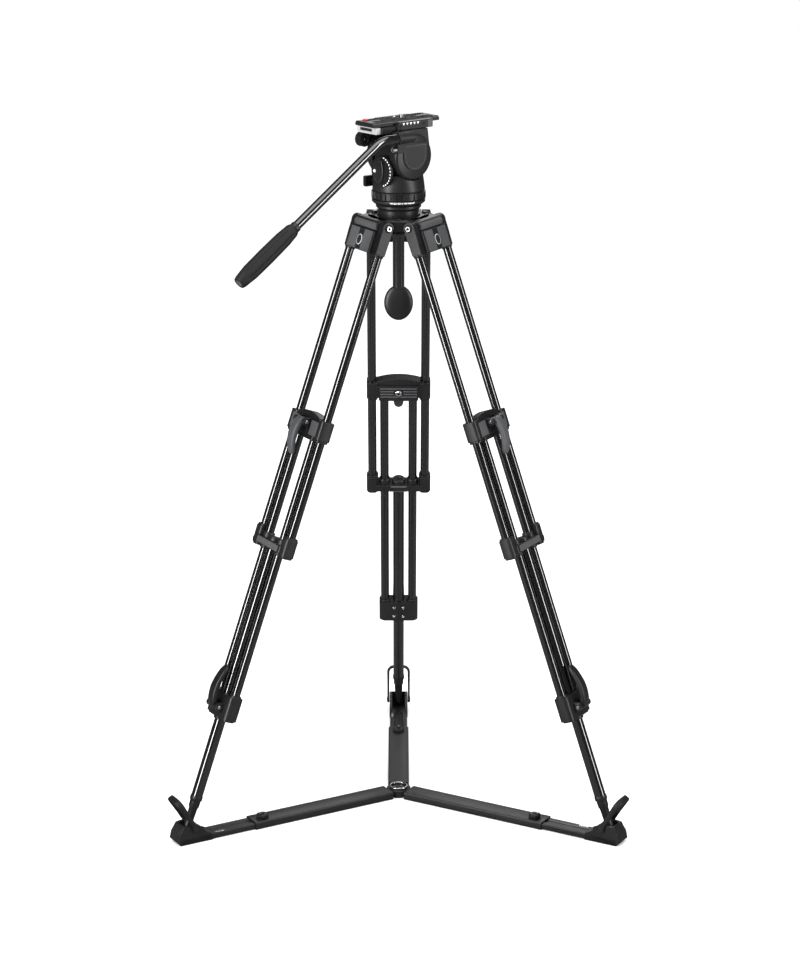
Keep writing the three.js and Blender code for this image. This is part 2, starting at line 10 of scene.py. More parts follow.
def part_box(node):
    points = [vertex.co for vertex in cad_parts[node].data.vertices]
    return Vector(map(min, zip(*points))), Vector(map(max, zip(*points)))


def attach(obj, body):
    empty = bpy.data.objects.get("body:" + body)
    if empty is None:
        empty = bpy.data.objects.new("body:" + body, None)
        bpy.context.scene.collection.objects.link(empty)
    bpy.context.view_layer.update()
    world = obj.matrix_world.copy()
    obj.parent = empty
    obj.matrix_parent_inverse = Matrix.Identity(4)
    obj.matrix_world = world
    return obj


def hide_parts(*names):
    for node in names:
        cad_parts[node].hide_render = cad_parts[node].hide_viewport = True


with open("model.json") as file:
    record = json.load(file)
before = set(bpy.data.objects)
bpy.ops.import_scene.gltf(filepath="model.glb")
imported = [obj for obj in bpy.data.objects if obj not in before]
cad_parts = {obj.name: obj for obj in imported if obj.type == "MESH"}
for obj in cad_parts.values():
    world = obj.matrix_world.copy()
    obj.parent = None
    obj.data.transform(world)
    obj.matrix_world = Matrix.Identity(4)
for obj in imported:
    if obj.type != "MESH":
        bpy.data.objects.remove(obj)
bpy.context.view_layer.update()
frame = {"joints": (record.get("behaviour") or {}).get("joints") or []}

joints = {j["name"]: j for j in frame["joints"]}
sides = ["rear", "left", "right"]
mm = 0.001  # the settings below are in millimetres, and makePiece turns them to metres


# ---- places, taken from the frame's joints
def axesMatrix(x, y, z, origin):
    columns = np.column_stack([x, y, z])
    placed = Matrix.Identity(4)
    for row in range(3):
        for column in range(3):
            placed[row][column] = columns[row][column]
        placed[row][3] = origin[row]
    return placed


def legMatrix(side):  # x along the hinge, y outward, z up the leg, origin on the leg hinge
    fold = joints[f"leg_fold_{side}"]
    z = -np.array(joints[f"stage_one_{side}"]["axis"])
    x = -np.array(fold["axis"])
    return axesMatrix(x, np.cross(z, x), z, fold["pos_m"])


def armMatrix(side):  # y along the spreader arm, origin on the floor at the hub
    y = np.array(joints[f"arm_slide_{side}"]["axis"])
    z = np.array([0.0, 0.0, 1.0])
    return axesMatrix(np.cross(y, z), y, z, (0, 0, 0))


def headMatrix():  # x along the tilt axis, y to the lens side, origin on the floor
    x = np.array(joints["head_tilt"]["axis"])
    z = np.array([0.0, 0.0, 1.0])
    return axesMatrix(x, np.cross(z, x), z, (0, 0, 0))


# ---- surfaces: every shell is (points, faces), with points as an (n, 3) array
def gridShell(points):
    # points[i, j] is row i along the piece and column j round it; the columns close on themselves
    rows, columns = points.shape[:2]
    i, j = np.meshgrid(np.arange(rows - 1), np.arange(columns), indexing="ij")
    k = (j + 1) % columns
    quads = np.stack([i * columns + j, i * columns + k, (i + 1) * columns + k, (i + 1) * columns + j], -1)
    faces = quads.reshape(-1, 4).tolist()
    faces.append(list(range(columns - 1, -1, -1)))
    faces.append([(rows - 1) * columns + n for n in range(columns)])
    return points.reshape(-1, 3), faces


def turn(points, axis):
    # carries (a, b, along) columns to x, y, z for a piece that lies along the given axis
    a, b, along = points[..., 0], points[..., 1], points[..., 2]
    order = {"z": (a, b, along), "y": (b, along, a), "x": (along, a, b)}[axis]
    return np.stack(order, -1)


def lathe(profile, axis="z", at=(0, 0), sides=48, ripple=None):
    # radius and height along the profile, turned about the axis; ripple(angle, height) adds to the radius
    r, h = np.array(profile, float).T
    t = np.linspace(0, 2 * pi, sides, endpoint=False)
    radius = np.repeat(r[:, None], sides, 1)
    if ripple is not None:
        radius = np.where(radius > 1e-6, radius + ripple(t[None, :], h[:, None]), 0)
    points = np.stack([radius * np.cos(t), radius * np.sin(t), np.repeat(h[:, None], sides, 1)], -1)
    points = points + np.array([at[0], at[1], 0])
    return gridShell(turn(points, axis))


def prism(outline, low, high, axis="z"):
    # a closed outline carried straight from low to high
    flat = np.array(outline, float)
    rows = [np.column_stack([flat, np.full(len(flat), level)]) for level in (low, high)]
    return gridShell(turn(np.stack(rows), axis))


def box(x, y, z):
    # a block given by its limits along x, y and z
    outline = [(x[0], y[0]), (x[1], y[0]), (x[1], y[1]), (x[0], y[1])]
    return prism(outline, z[0], z[1])


def roundRect(a, b, radius, steps=5, centre=(0, 0)):
    # a rectangle of half sizes a and b with quarter-circle corners
    t = np.linspace(0, pi / 2, steps)
    corners = [(a - radius, b - radius, 0), (radius - a, b - radius, pi / 2),
               (radius - a, radius - b, pi), (a - radius, radius - b, 1.5 * pi)]
    points = [np.column_stack([x + radius * np.cos(t + s), y + radius * np.sin(t + s)]) for x, y,
              s in corners]
    return np.concatenate(points) + np.array(centre)


def arc(cy, cz, radius, start, end, steps):
    # points on a circle, from one angle to another in degrees
    t = np.radians(np.linspace(start, end, steps))
    return np.column_stack([cy + radius * np.cos(t), cz + radius * np.sin(t)])


def loft(centres, across, out, halfWidths, halfDepths, power=4, columns=28):
    # superellipse sections of the given half sizes, carried along the centre points
    t = np.linspace(0, 2 * pi, columns, endpoint=False)
    u = np.sign(np.cos(t)) * np.abs(np.cos(t)) ** (2 / power)
    v = np.sign(np.sin(t)) * np.abs(np.sin(t)) ** (2 / power)
    points = (centres[:, None, :] + across[:, None, :] * (halfWidths[:, None] * u)[..., None]
              + out[:, None, :] * (halfDepths[:, None] * v)[..., None])
    return gridShell(points)


def alongYZ(y, z):
    # centre line in the x = 0 plane, with the direction across it and the direction out of it at each point
    centres = np.column_stack([np.zeros_like(y), y, z])
    tangent = np.gradient(centres, axis=0)
    tangent /= np.linalg.norm(tangent, axis=1)[:, None]
    across = np.tile([1.0, 0.0, 0.0], (len(y), 1))
    return centres, across, np.cross(tangent, across)


def domed(t, sharpness=6):
    # 1 along the middle of a piece, falling to almost nothing at both ends
    return np.clip(1 - np.abs(2 * t - 1) ** sharpness, 0.02, 1) ** (1 / 2)


def together(*shells):
    # several shells as one, with each face list moved on by the points before it
    points, faces, start = [], [], 0
    for shellPoints, shellFaces in shells:
        points.append(shellPoints)
        faces += [[n + start for n in face] for face in shellFaces]
        start += len(shellPoints)
    return np.concatenate(points), faces


def moved(shell, matrix):
    # every point turned and shifted by a matrix
    points, faces = shell
    m = np.array(matrix)
    return points @ m[:3, :3].T + m[:3, 3], faces


both = (-1, 1)  # left and right of a piece's middle


def span(way, near, far):  # from near to far on one side, smaller number first
    return tuple(sorted((way * near, way * far)))


def mirror(way, offset):  # a shape built along +x, moved out by offset and turned over for the other side
    return Matrix(((way, 0, 0, way * offset), (0, 1, 0, 0), (0, 0, 1, 0), (0, 0, 0, 1)))


def makePiece(name, shell, paint, body, replaced=(), place=None, bevel=0.0, sharp=34):
    # shell in millimetres, put at its place in the world, with soft edges, its body and the CAD nodes it
    # hides
    points, faces = shell
    m = np.array(place if place is not None else Matrix.Identity(4))
    world = (points * mm) @ m[:3, :3].T + m[:3, 3]
    mesh = bpy.data.meshes.new(name)
    mesh.from_pydata(world.tolist(), [], faces)
    built = bmesh.new()
    built.from_mesh(mesh)
    bmesh.ops.remove_doubles(built, verts=built.verts, dist=1e-6)
    bmesh.ops.dissolve_degenerate(built, edges=built.edges, dist=1e-7)
    bmesh.ops.recalc_face_normals(built, faces=built.faces)
    built.to_mesh(mesh)
    built.free()
    mesh.polygons.foreach_set("use_smooth", np.ones(len(mesh.polygons), bool))
    mesh.set_sharp_from_angle(angle=np.radians(sharp))
    piece = bpy.data.objects.new(name, mesh)
    bpy.context.scene.collection.objects.link(piece)
    mesh.materials.append(paint)
    if bevel:
        soft = piece.modifiers.new("edges", "BEVEL")
        soft.width, soft.segments, soft.limit_method = bevel * mm, 3, "ANGLE"
        soft.angle_limit, soft.harden_normals = np.radians(30), True
    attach(piece, body)
    # a paint whose name the CAD already uses is numbered after a dot
    if replaced:
        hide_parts(*replaced)
    return piece


# ---- finishes
def node(tree, kind, **values):
    made = tree.nodes.new(kind)
    for key, value in values.items():
        if hasattr(made, key):
            setattr(made, key, value)
        else:
            made.inputs[key.replace("_", " ")].default_value = value
    return made


def finish(name, settings):
    # fine grain for bump and roughness, with a slow cloud that varies the colour
    made = bpy.data.materials.new(name)
    made.use_nodes = True
    tree = made.node_tree
    shader = tree.nodes["Principled BSDF"]
    shader.inputs["Metallic"].default_value = settings.get("metallic", 0)
    shader.inputs["Specular IOR Level"].default_value = settings.get("specular", 0.5)
    shader.inputs["Coat Weight"].default_value = settings.get("coat", 0)
    shader.inputs["Coat Roughness"].default_value = settings.get("coatRoughness", 0.1)
    place = tree.nodes.new("ShaderNodeTexCoord")
    stretch = node(tree, "ShaderNodeMapping")
    stretch.inputs["Scale"].default_value = settings.get("stretch", (1, 1, 1))
    grain = node(tree, "ShaderNodeTexNoise", Scale=settings["grain"], Detail=4.0)
    cloud = node(tree, "ShaderNodeTexNoise", Scale=settings.get("cloud", 14.0), Detail=5.0)
    tree.links.new(place.outputs["Object"], stretch.inputs["Vector"])
    tree.links.new(stretch.outputs["Vector"], grain.inputs["Vector"])
    tree.links.new(place.outputs["Object"], cloud.inputs["Vector"])
    tint = node(tree, "ShaderNodeValToRGB")
    tint.color_ramp.elements[0].position, tint.color_ramp.elements[1].position = 0.35, 0.7
    tint.color_ramp.elements[0].color = (*settings["dark"], 1)
    tint.color_ramp.elements[1].color = (*settings["light"], 1)
    tree.links.new(cloud.outputs["Fac"], tint.inputs["Fac"])
    tree.links.new(tint.outputs["Color"], shader.inputs["Base Color"])
    mixed = node(tree, "ShaderNodeMath", operation="ADD")
    tree.links.new(grain.outputs["Fac"], mixed.inputs[0])
    tree.links.new(cloud.outputs["Fac"], mixed.inputs[1])
    rough = node(tree, "ShaderNodeMapRange")
    rough.inputs["From Min"].default_value, rough.inputs["From Max"].default_value = 0.6, 1.4
    rough.inputs["To Min"].default_value, rough.inputs["To Max"].default_value = settings["rough"]
    tree.links.new(mixed.outputs[0], rough.inputs["Value"])
    tree.links.new(rough.outputs["Result"], shader.inputs["Roughness"])
    bump = node(tree, "ShaderNodeBump", Strength=settings["bump"], Distance=settings.get("depth", 0.0002))
    tree.links.new(grain.outputs["Fac"], bump.inputs["Height"])
    tree.links.new(bump.outputs["Normal"], shader.inputs["Normal"])
    return made


casting = finish("satin_casting", dict(dark=(0.006, 0.006, 0.0068), light=(0.0095, 0.0098, 0.0108),
                                       rough=(0.32, 0.44), grain=1500, bump=0.18, specular=0.45))
# lighter grey: the grey parts, and also painted light on faces the lamps catch (leg facings, upper lever,
# dial bar highlight)
greyAndPaintedLight = finish("grey_and_painted_light", dict(dark=(0.045, 0.046, 0.048), light=(0.062, 0.063, 0.066),
                                  rough=(0.4, 0.52), grain=1700, bump=0.2, specular=0.5))
anodised = finish("anodised_tube", dict(dark=(0.002, 0.002, 0.0024), light=(0.0035, 0.0035, 0.004),
                                        metallic=0.0, rough=(0.09, 0.15), grain=900, bump=0.02,
                                        specular=1.0, coat=0.7, coatRoughness=0.06))
plastic = finish("black_plastic", dict(dark=(0.0045, 0.0045, 0.005), light=(0.0075, 0.0075, 0.0082),
                                       rough=(0.32, 0.44), grain=1900, bump=0.25, specular=0.5))
silver = finish("cast_silver", dict(dark=(0.34, 0.345, 0.35), light=(0.46, 0.465, 0.47), metallic=0.2,
                                    rough=(0.36, 0.48), grain=1500, bump=0.12))
rubber = finish("black_rubber", dict(dark=(0.004, 0.004, 0.0045), light=(0.007, 0.007, 0.0076),
                                     rough=(0.5, 0.68), grain=2300, bump=0.35, specular=0.4))
steel = finish("bright_steel", dict(dark=(0.55, 0.56, 0.57), light=(0.72, 0.73, 0.74), metallic=1.0,
                                    rough=(0.18, 0.3), grain=700, bump=0.05, stretch=(1, 1, 12)))
redPaint = finish("red_plastic", dict(dark=(0.33, 0.008, 0.018), light=(0.48, 0.014, 0.03),
                                      rough=(0.3, 0.42), grain=1600, bump=0.1))
whitePrint = finish("white_print", dict(dark=(0.72, 0.72, 0.71), light=(0.85, 0.85, 0.84),
                                        rough=(0.45, 0.6), grain=2500, bump=0.05))
fluid = finish("level_fluid", dict(dark=(0.35, 0.5, 0.05), light=(0.45, 0.62, 0.08),
                                   rough=(0.05, 0.1), grain=200, bump=0.01, coat=1.0))
# near-black: painted shade in holes, slots, pockets and sockets, and the dark joint of the collar seam
shadeAndSeams = finish("painted_shade_and_seams", dict(dark=(0.003, 0.003, 0.003), light=(0.006, 0.006, 0.006),
                                     rough=(0.6, 0.8), grain=900, bump=0.1))
print("finishes ready")

# ---- legs
legSizes = dict(outerX=49.35, innerX=26.45, tube=8.0, centre=10.5, blockEnd=50, clampTop=351,
                clampEnd=392, clampPin=364, yokeTop=568, yokeEnd=601, collarTop=869, collarEnd=915,
                centreTop=577, tubeEnd=1072, foot=1128.6)


def tube(radius, start, end, x=0):
    # a plain rod: constant radius with a small chamfer at both ends
    edge = 0.6
    return lathe([(0, -end), (radius - edge, -end), (radius, edge - end), (radius, -start - edge),
                  (radius - edge, -start), (0, -start)], at=(x, 0), sides=40)


turnedOver = Matrix.Diagonal((-1, 1, 1, 1))  # the same shape on the other side


def topBlock(side):
    # a web hollowed by a circle about the hinge, between two ears with round tops
    s = dict(earIn=41, earOut=56.5, round=11, back=-9, front=16, top=-10, hollow=17.4)
    end = -legSizes["blockEnd"]
    web = np.concatenate([[(s["back"], end), (s["front"] - 2, end), (s["front"], end + 2),
                           (s["front"], s["top"] - 1)], arc(0, 0, s["hollow"], -35, -121, 14)])
    web = prism(web, -s["earIn"] - 1, s["earIn"] + 1, "x")
    earOutline = np.concatenate([arc(0, 0, s["round"], -18, 200, 22),
                                 [(-9.3, end + 3), (-7, end), (8, end), (9.6, end + 2), (10.4, -20)]])
    ears = [prism(earOutline, *span(way, s["earIn"], s["earOut"]), "x") for way in both]
    skirts = [lathe([(0, end - 3), (8.9, end - 3), (9.3, end - 2), (9.3, end + 2), (0, end + 2)], at=(x, 0))
              for x in (-legSizes["outerX"], legSizes["outerX"])]
    place, body = legMatrix(side), f"upper_leg_{side}"
    makePiece(f"topBlock_{side}", together(web, *ears, *skirts), casting, body, [f"top_block_{side}"],
              place, bevel=1.1)
    # lighter grey strips on the ears' front faces: painted light where the lamps catch the casting
    facing = [prism([(15.6, -48.4), (16.5, -48.4), (16.5, -12), (15.6, -12)], *span(way, 8.6, 37.5), "x")
              for way in both]
    makePiece(f"blockLitFace_{side}", together(*facing), greyAndPaintedLight, body, place=place, bevel=0.3)
    ring = lathe([(0, 15.6), (1.0, 15.6), (1.0, 16.9), (0.97, 17.1), (0, 17.1)], "y", sides=40)
    disc = lathe([(0, 16.9), (0.84, 16.9), (0.84, 17.3), (0, 17.4)], "y", sides=40)
    oval = Matrix(((8.0, 0, 0, 0), (0, 1, 0, 0), (0, 0, 9.6, -32), (0, 0, 0, 1)))
    makePiece(f"blockRing_{side}", moved(ring, oval), silver, body, place=place)
    makePiece(f"blockDisc_{side}", moved(disc, oval), shadeAndSeams, body, place=place)


def outerTubes(side):
    # two rods, and a yoke of rounded blocks joined by a straight bar
    place, body = legMatrix(side), f"upper_leg_{side}"
    tubes = [tube(legSizes["tube"], legSizes["blockEnd"], legSizes["yokeEnd"] - 4, way * legSizes["outerX"])
             for way in both]
    makePiece(f"outerTubes_{side}", together(*tubes), anodised, body, [f"outer_frame_{side}"], place)
    top, end = -legSizes["yokeTop"], -legSizes["yokeEnd"]
    shells = []
    for way in both:
        x = way * legSizes["outerX"]
        outline = roundRect(11, 12.6, 7, centre=(x, 0))
        shells.append(prism(outline, end, top))
        shells.append(prism(roundRect(9.6, 10.6, 6, centre=(x, 0)), end - 3, end + 1))
        shells.append(prism(roundRect(10.0, 11.2, 6.4, centre=(x, 0)), top - 1, top + 3))
    shells.append(prism(roundRect(46, 14.4, 4), end + 3, end + 17))
    for x in (-legSizes["innerX"], legSizes["innerX"]):
        shells.append(lathe([(0, end + 12), (10.6, end + 12), (10.6, end + 25), (9.6, end + 27),
                             (0, end + 27)], at=(x, 0)))
        shells.append(lathe([(0, end - 3), (9.8, end - 3), (10.6, end - 1), (10.6, end + 5), (0, end + 5)],
                            at=(x, 0)))
    makePiece(f"yoke_{side}", together(*shells), casting, body, place=place, bevel=1.2)
    # lighter grey strip across the yoke's front, with thin strips on it and on the back: painted light
    seam = box((-38, 38), (14.2, 14.9), (end + 4.5, end + 15.5))
    ribs = [box((n, n + 0.8), (14.2, 15.2), (end + 5, end + 15)) for n in (-16, 15.2)]
    ribs += [box((-16, 16), (-15.0, -14.1), (end + 3.2, end + 4.6)),
             box((-15, 15), (-15.0, -14.1), (end + 13, end + 16.4))]
    makePiece(f"yokeLitFace_{side}", together(seam, *ribs), greyAndPaintedLight, body, place=place, bevel=0.3)
    if side == "rear":
        return
    way = 1 if side == "left" else -1
    lug = lathe([(0, 0), (6.4, 0), (7, 1), (7, 4.6), (6, 5.6), (0, 5.6)], "x", at=(2, end + 6), sides=28,
                ripple=lambda t, h: 0.35 * np.cos(12 * t))
    lug = moved(lug, mirror(way, 58.6))
    makePiece(f"yokeLug_{side}", lug, plastic, body, place=place, bevel=0.3)


def clampHousing(side):
    # rounded blocks round the tubes, under a ridge whose top follows a wide arc
    place, body = legMatrix(side), f"middle_leg_{side}"
    top, end = -legSizes["clampTop"], -legSizes["clampEnd"]
    shells = []
    for way in both:
        x = way * legSizes["outerX"]
        shells.append(prism(roundRect(10.6, 13.6, 6, centre=(x - way, 0)), end + 5, top - 1))
        shells.append(prism(roundRect(8.8, 11.6, 5.4, centre=(x - way * 1.2, 0)), end + 1, end + 7))
    shells.append(prism(roundRect(44, 13.2, 3), end + 8, top - 7))
    ridge = np.concatenate([[(-41, top - 10), (41, top - 10)], arc(0, top - 118, 125, 71, 109, 24)])
    shells.append(prism(ridge[:, ::-1], -10, 10, "y"))
    shells.append(prism(roundRect(36.6, 11.6, 4), end, end + 9))
    for way in both:
        pin = -legSizes["clampPin"]
        lug = np.concatenate([arc(21, pin, 6.6, -80, 80, 12), [(10, pin + 10), (10, pin - 11)]])
        shells.append(prism(lug, *span(way, 12.2, 20), "x"))
    makePiece(f"clampHousing_{side}", together(*shells), casting, body, [f"clamp_housing_{side}"], place,
              bevel=1.3)
    # lighter grey panels on the front beside the tubes, and bars on the inner face: painted light where the
    # lamps catch the casting
    inner = [box((-34, 34), (-14.4, -13), (z, z + 2.6)) for z in (end + 10, end + 16, end + 22, end + 28)]
    outer = [box(span(way, 22.5, 47), (13, 14.1), (end + 9, top - 6)) for way in both]
    makePiece(f"housingLitFace_{side}", together(*inner, *outer), greyAndPaintedLight, body, place=place, bevel=0.4)
    # near-black pockets and a disc under the nut: painted shade
    pockets = [box(span(way, 38.5, 42.5), (-14.5, -13), (end + 8, top - 9)) for way in both]
    washer = lathe([(0, -14.8), (9, -14.8), (9, -13.0), (0, -13.0)], "y", at=(end + 20, 0), sides=36)
    makePiece(f"housingPocket_{side}", together(washer, *pockets), shadeAndSeams, body, place=place)
    nut = lathe([(2.6, -17.6), (5.8, -17.6), (6.6, -16.9), (6.6, -14.6), (2.6, -14.6), (2.6, -17.6)], "y",
                at=(end + 20, 0), sides=6)
    cap = lathe([(0, 0), (2.6, 0), (3.4, -0.8), (3.4, -1.6), (0, -1.6)], "x", at=(21, pin), sides=24)
    ends = [moved(cap, Matrix.Translation((21.4, 0, 0))),
            moved(cap, turnedOver @ Matrix.Translation((21.4, 0, 0)))]
    makePiece(f"clampNut_{side}", together((nut[0], nut[1][:-2]), *ends), steel, body, place=place)


def clampLever(name, side, cad, pivot, way, length, ribs):
    # superellipse sections along a line that bulges by a sine and narrows to its tip
    s = dict(width=11.4, thick=6.2, bulge=9.2)
    t = np.linspace(0, 1, 70)
    y = 21.5 + s["bulge"] * np.sin(pi * np.clip(t, 0, 1) ** 0.85) - 3.5 * t ** 3 * (1 if way > 0 else 0.2)
    z = pivot + way * (-6 + (length + 5) * t)
    width = s["width"] * (1 - 0.22 * t ** 2) * domed(t, 9)
    depth = s["thick"] * (1 - 0.35 * t) * domed(t, 8)
    grips = np.where((t > ribs[0]) & (t < ribs[1]), 0.45 * np.maximum(np.sin(2 * pi * 22 * t), 0) ** 0.5, 0)
    shell = loft(*alongYZ(y, z), width, depth + grips, power=3.4)
    hub = lathe([(0, -10.6), (6.1, -10.6), (6.5, -10.2), (6.5, 10.2), (6.1, 10.6), (0, 10.6)], "x",
                at=(21, pivot), sides=32)
    place, body = legMatrix(side), f"{cad}_{side}"
    # the upper lever and its pad take the lighter grey so that the lever reads as lit: painted light
    makePiece(f"{name}_{side}", together(shell, hub), greyAndPaintedLight if way < 0 else plastic, body,
              [f"{cad}_{side}"], place)
    w = np.linspace(0.12, 0.86, 40) if way < 0 else np.linspace(0.1, 0.4, 24)
    py = np.interp(w, t, y) + np.interp(w, t, depth) * 0.55
    pad = loft(*alongYZ(py, np.interp(w, t, z)),
               np.interp(w, t, width) * 0.62 * domed((w - w[0]) / np.ptp(w), 8),
               2.6 * domed((w - w[0]) / np.ptp(w), 8), power=4)
    makePiece(f"{name}Pad_{side}", pad, rubber if way > 0 else greyAndPaintedLight, body, place=place)


def innerTubes(side):
    # two rods into a rounded collar, with turned rings where they enter
    place, body = legMatrix(side), f"middle_leg_{side}"
    tubes = [tube(legSizes["tube"], legSizes["clampEnd"] - 3, legSizes["collarEnd"] - 6,
                  way * legSizes["innerX"]) for way in both]
    makePiece(f"innerTubes_{side}", together(*tubes), anodised, body, [f"inner_frame_{side}"], place)
    top, end = -legSizes["collarTop"], -legSizes["collarEnd"]
    shells = [prism(roundRect(37.6, 13.6, 8), end + 3, top), prism(roundRect(34, 11.4, 7), end, end + 4)]
    shells += [lathe([(0, top - 4), (10.8, top - 4), (10.8, top + 2.4), (10, top + 3.4), (0, top + 3.4)],
                     at=(x, 0)) for x in (-legSizes["innerX"], legSizes["innerX"])]
    shells.append(lathe([(0, end - 3), (12.6, end - 3), (13.4, end - 2), (13.4, end + 4), (0, end + 4)]))
    for way in both:
        lug = np.concatenate([arc(21, -894, 6.6, -80, 80, 12), [(10, -883), (10, -905)]])
        shells.append(prism(lug, *span(way, 12.2, 20), "x"))
    makePiece(f"lowerCollar_{side}", together(*shells), casting, body, place=place, bevel=1.3)
    seam = box((-0.5, 0.5), (-14, -13), (end + 3, top - 0.5))
    makePiece(f"collarSeam_{side}", seam, shadeAndSeams, body, place=place)
    screws = [lathe([(0, -13.5), (2.9, -13.5), (2.9, -14.4), (2.5, -14.8), (1.3, -14.8), (1.2, -14.2),
                     (0, -14.2)], "y", at=(z, x), sides=20) for x in (-9, 9) for z in (-881, -903)]
    ends = [moved(lathe([(0, 0), (2.6, 0), (3.4, -0.8), (3.4, -1.6), (0, -1.6)], "x", at=(21, -894),
                        sides=24), mirror(way, 21.4)) for way in both]
    makePiece(f"collarScrews_{side}", together(*screws, *ends), steel, body, place=place)


def lowerTube(side):
    # one rod, with a turned plug at the top and a turned ferrule and round tip below
    place, body = legMatrix(side), f"lower_leg_{side}"
    main = tube(legSizes["centre"], legSizes["centreTop"] + 6, legSizes["tubeEnd"])
    makePiece(f"centreTube_{side}", main, anodised, body, [f"lower_tube_{side}"], place)
    a, b, c = -legSizes["centreTop"], -legSizes["tubeEnd"], -legSizes["foot"]
    plug = lathe([(0, a - 12), (12.2, a - 12), (12.6, a - 11), (12.6, a - 2), (11.6, a), (6, a), (5, a - 2),
                  (0, a - 2)], sides=44)
    t = np.linspace(-pi / 2, 0.25, 12)
    tip = [(9 * np.cos(v), c + 9 * np.sin(v)) for v in t]
    tip[0] = (0, c - 9)
    foot = lathe([*tip, (7.6, c + 8), (7.2, c + 20), (8.0, b - 14), (9.4, b - 12), (9.8, b - 3),
                  (9.8, b + 2), (0, b + 2)], sides=44)
    band = lathe([(0, b + 1), (11.1, b + 1), (11.4, b + 2), (11.4, b + 8), (11.0, b + 9), (0, b + 9)],
                 sides=44)
    makePiece(f"footFerrule_{side}", together(plug, foot, band), plastic, body, place=place)


for side in sides:
    topBlock(side)
    outerTubes(side)
    clampHousing(side)
    clampLever("upperLever", side, "upper_lever", -legSizes["clampPin"], -1, 64, (0.3, 0.86))
    innerTubes(side)
    clampLever("lowerLever", side, "lower_lever", -894, 1, 76, (0.42, 0.88))
    lowerTube(side)
print("legs built")

# ---- floor spreader
spreader = dict(sleeveFrom=22, sleeveTo=308, width=39, height=14, barWidth=34, barTop=11.6, blockFrom=372,
                blockTo=463, blockWidth=36, blockHeight=35, latchR=427, latchZ=27.5, knobR=285)


def sleeveAndKnob(side):
    # a rounded rectangle carried along the arm, and a turned knob with twenty shallow lobes
    place = armMatrix(side)
    s = spreader
    half = s["width"] / 2
    outline = roundRect(half, s["height"] / 2, 1.8, centre=(0, s["height"] / 2))
    body = prism(outline[:, ::-1], s["sleeveFrom"], s["sleeveTo"] - 10, "y")
    collar = prism(roundRect(half, s["height"] / 2, 1.4, centre=(0, s["height"] / 2))[:, ::-1],
                   s["sleeveTo"] - 12, s["sleeveTo"], "y")
    strips = [box(span(way, 14.6, 17.4), (s["sleeveFrom"] + 6, s["sleeveTo"] - 14),
                  (s["height"] - 1, s["height"] + 0.25)) for way in both]
    makePiece(f"sleeve_{side}", together(body, collar, *strips), casting, "spreader",
              [f"spreader_sleeve_{side}"], place, bevel=0.5)
    z = s["height"]
    base = lathe([(0, z), (13, z), (13, z + 0.7), (0, z + 0.7)], at=(0, s["knobR"]), sides=44)
    makePiece(f"knobSeat_{side}", base, plastic, "spreader", place=place)
    knob = lathe([(0, z + 0.8), (10.4, z + 0.8), (10.8, z + 1.6), (10.4, z + 6), (8.8, z + 7), (0, z + 7)],
                 at=(0, s["knobR"]), sides=96, ripple=lambda t, h: 0.35 * np.cos(20 * t))
    nib = box((-3.2, 3.2), (s["knobR"] - 3, s["knobR"] + 9.6), (z + 5.5, z + 9.2))
    makePiece(f"armKnob_{side}", together(knob, nib), plastic, f"spreader_knob_{side}",
              [f"spreader_knob_{side}"], place, bevel=0.4)
    dot = lathe([(0, z + 9), (1.9, z + 9), (1.9, z + 9.9), (1.4, z + 10.3), (0, z + 10.3)],
                at=(0, s["knobR"] + 5.5), sides=20)
    makePiece(f"knobDot_{side}", dot, steel, f"spreader_knob_{side}", place=place)


def armAndBlock(side):
    # a grooved bar, and an end block of flat side outlines carried across
    place, body = armMatrix(side), f"spreader_arm_{side}"
    s = spreader
    half, top = s["barWidth"] / 2, s["barTop"]
    outline = [(-half, 1.4), (half, 1.4), (half, top - 1), (half - 1, top), (8, top), (7, top - 2.2),
               (-7, top - 2.2), (-8, top), (1 - half, top), (-half, top - 1)]
    bar = prism(np.array(outline)[:, ::-1], 195, s["blockFrom"] + 30, "y")
    makePiece(f"slideBar_{side}", bar, casting, body, [f"spreader_bar_{side}"], place, bevel=0.5)
    tag = box((-15, -10.5), (370, 388), (top - 0.5, top + 0.5))
    makePiece(f"barTag_{side}", tag, steel, body, place=place, bevel=0.2)
    y0, y1, high, w = s["blockFrom"], s["blockTo"], s["blockHeight"], s["blockWidth"] / 2
    floorPlate = prism([(y0 + 22, 0), (y1 - 7, 0), (y1 - 4, 3), (y1 - 8, 11), (y0 + 22, top)], -w, w, "x")
    cheek = np.concatenate([[(y0 + 23, 0), (y1 - 6, 0), (y1, 6), (y1 - 3, 20), (y1 - 12, high - 2),
                             (y1 - 15, high)], arc(s["latchR"], s["latchZ"], 9, 70, 150, 8),
                            [(y0 + 34, 18), (y0 + 23, top + 1)]])
    cheeks = [prism(cheek, *span(way, 12.5, w), "x") for way in both]
    wall = prism([(y1 - 9, 0), (y1 - 6, 0), (y1, 6), (y1 - 3, 20), (y1 - 12, high), (y1 - 15, high),
                  (y1 - 9, 20)], -w + 1, w - 1, "x")
    ribs = [prism([(y1 - 8, 2), (y1 - 5.4, 0.4), (y1, 6.4), (y1 - 2.4, 20.4), (y1 - 11, high - 1)],
                  x - 1.1, x + 1.1, "x") for x in (-9, 0, 9)]
    cap = lathe([(0, 0), (6.6, 0), (7, 0.5), (7, 3.6), (6.2, 4.2), (0, 4.2)], "x", sides=30)
    makePiece(f"endBlock_{side}", together(floorPlate, *cheeks, wall, *ribs), plastic, body, place=place,
              bevel=0.8)
    flat, wide = 0.55, 0.62  # the pins' caps are this much thinner and narrower than the lathed shape
    caps = [moved(cap, Matrix(((way * flat, 0, 0, way * 21.4), (0, wide, 0, s["latchR"]),
                               (0, 0, wide, s["latchZ"]), (0, 0, 0, 1)))) for way in both]
    makePiece(f"latchPins_{side}", together(*caps), plastic, body, place=place, bevel=0.2)


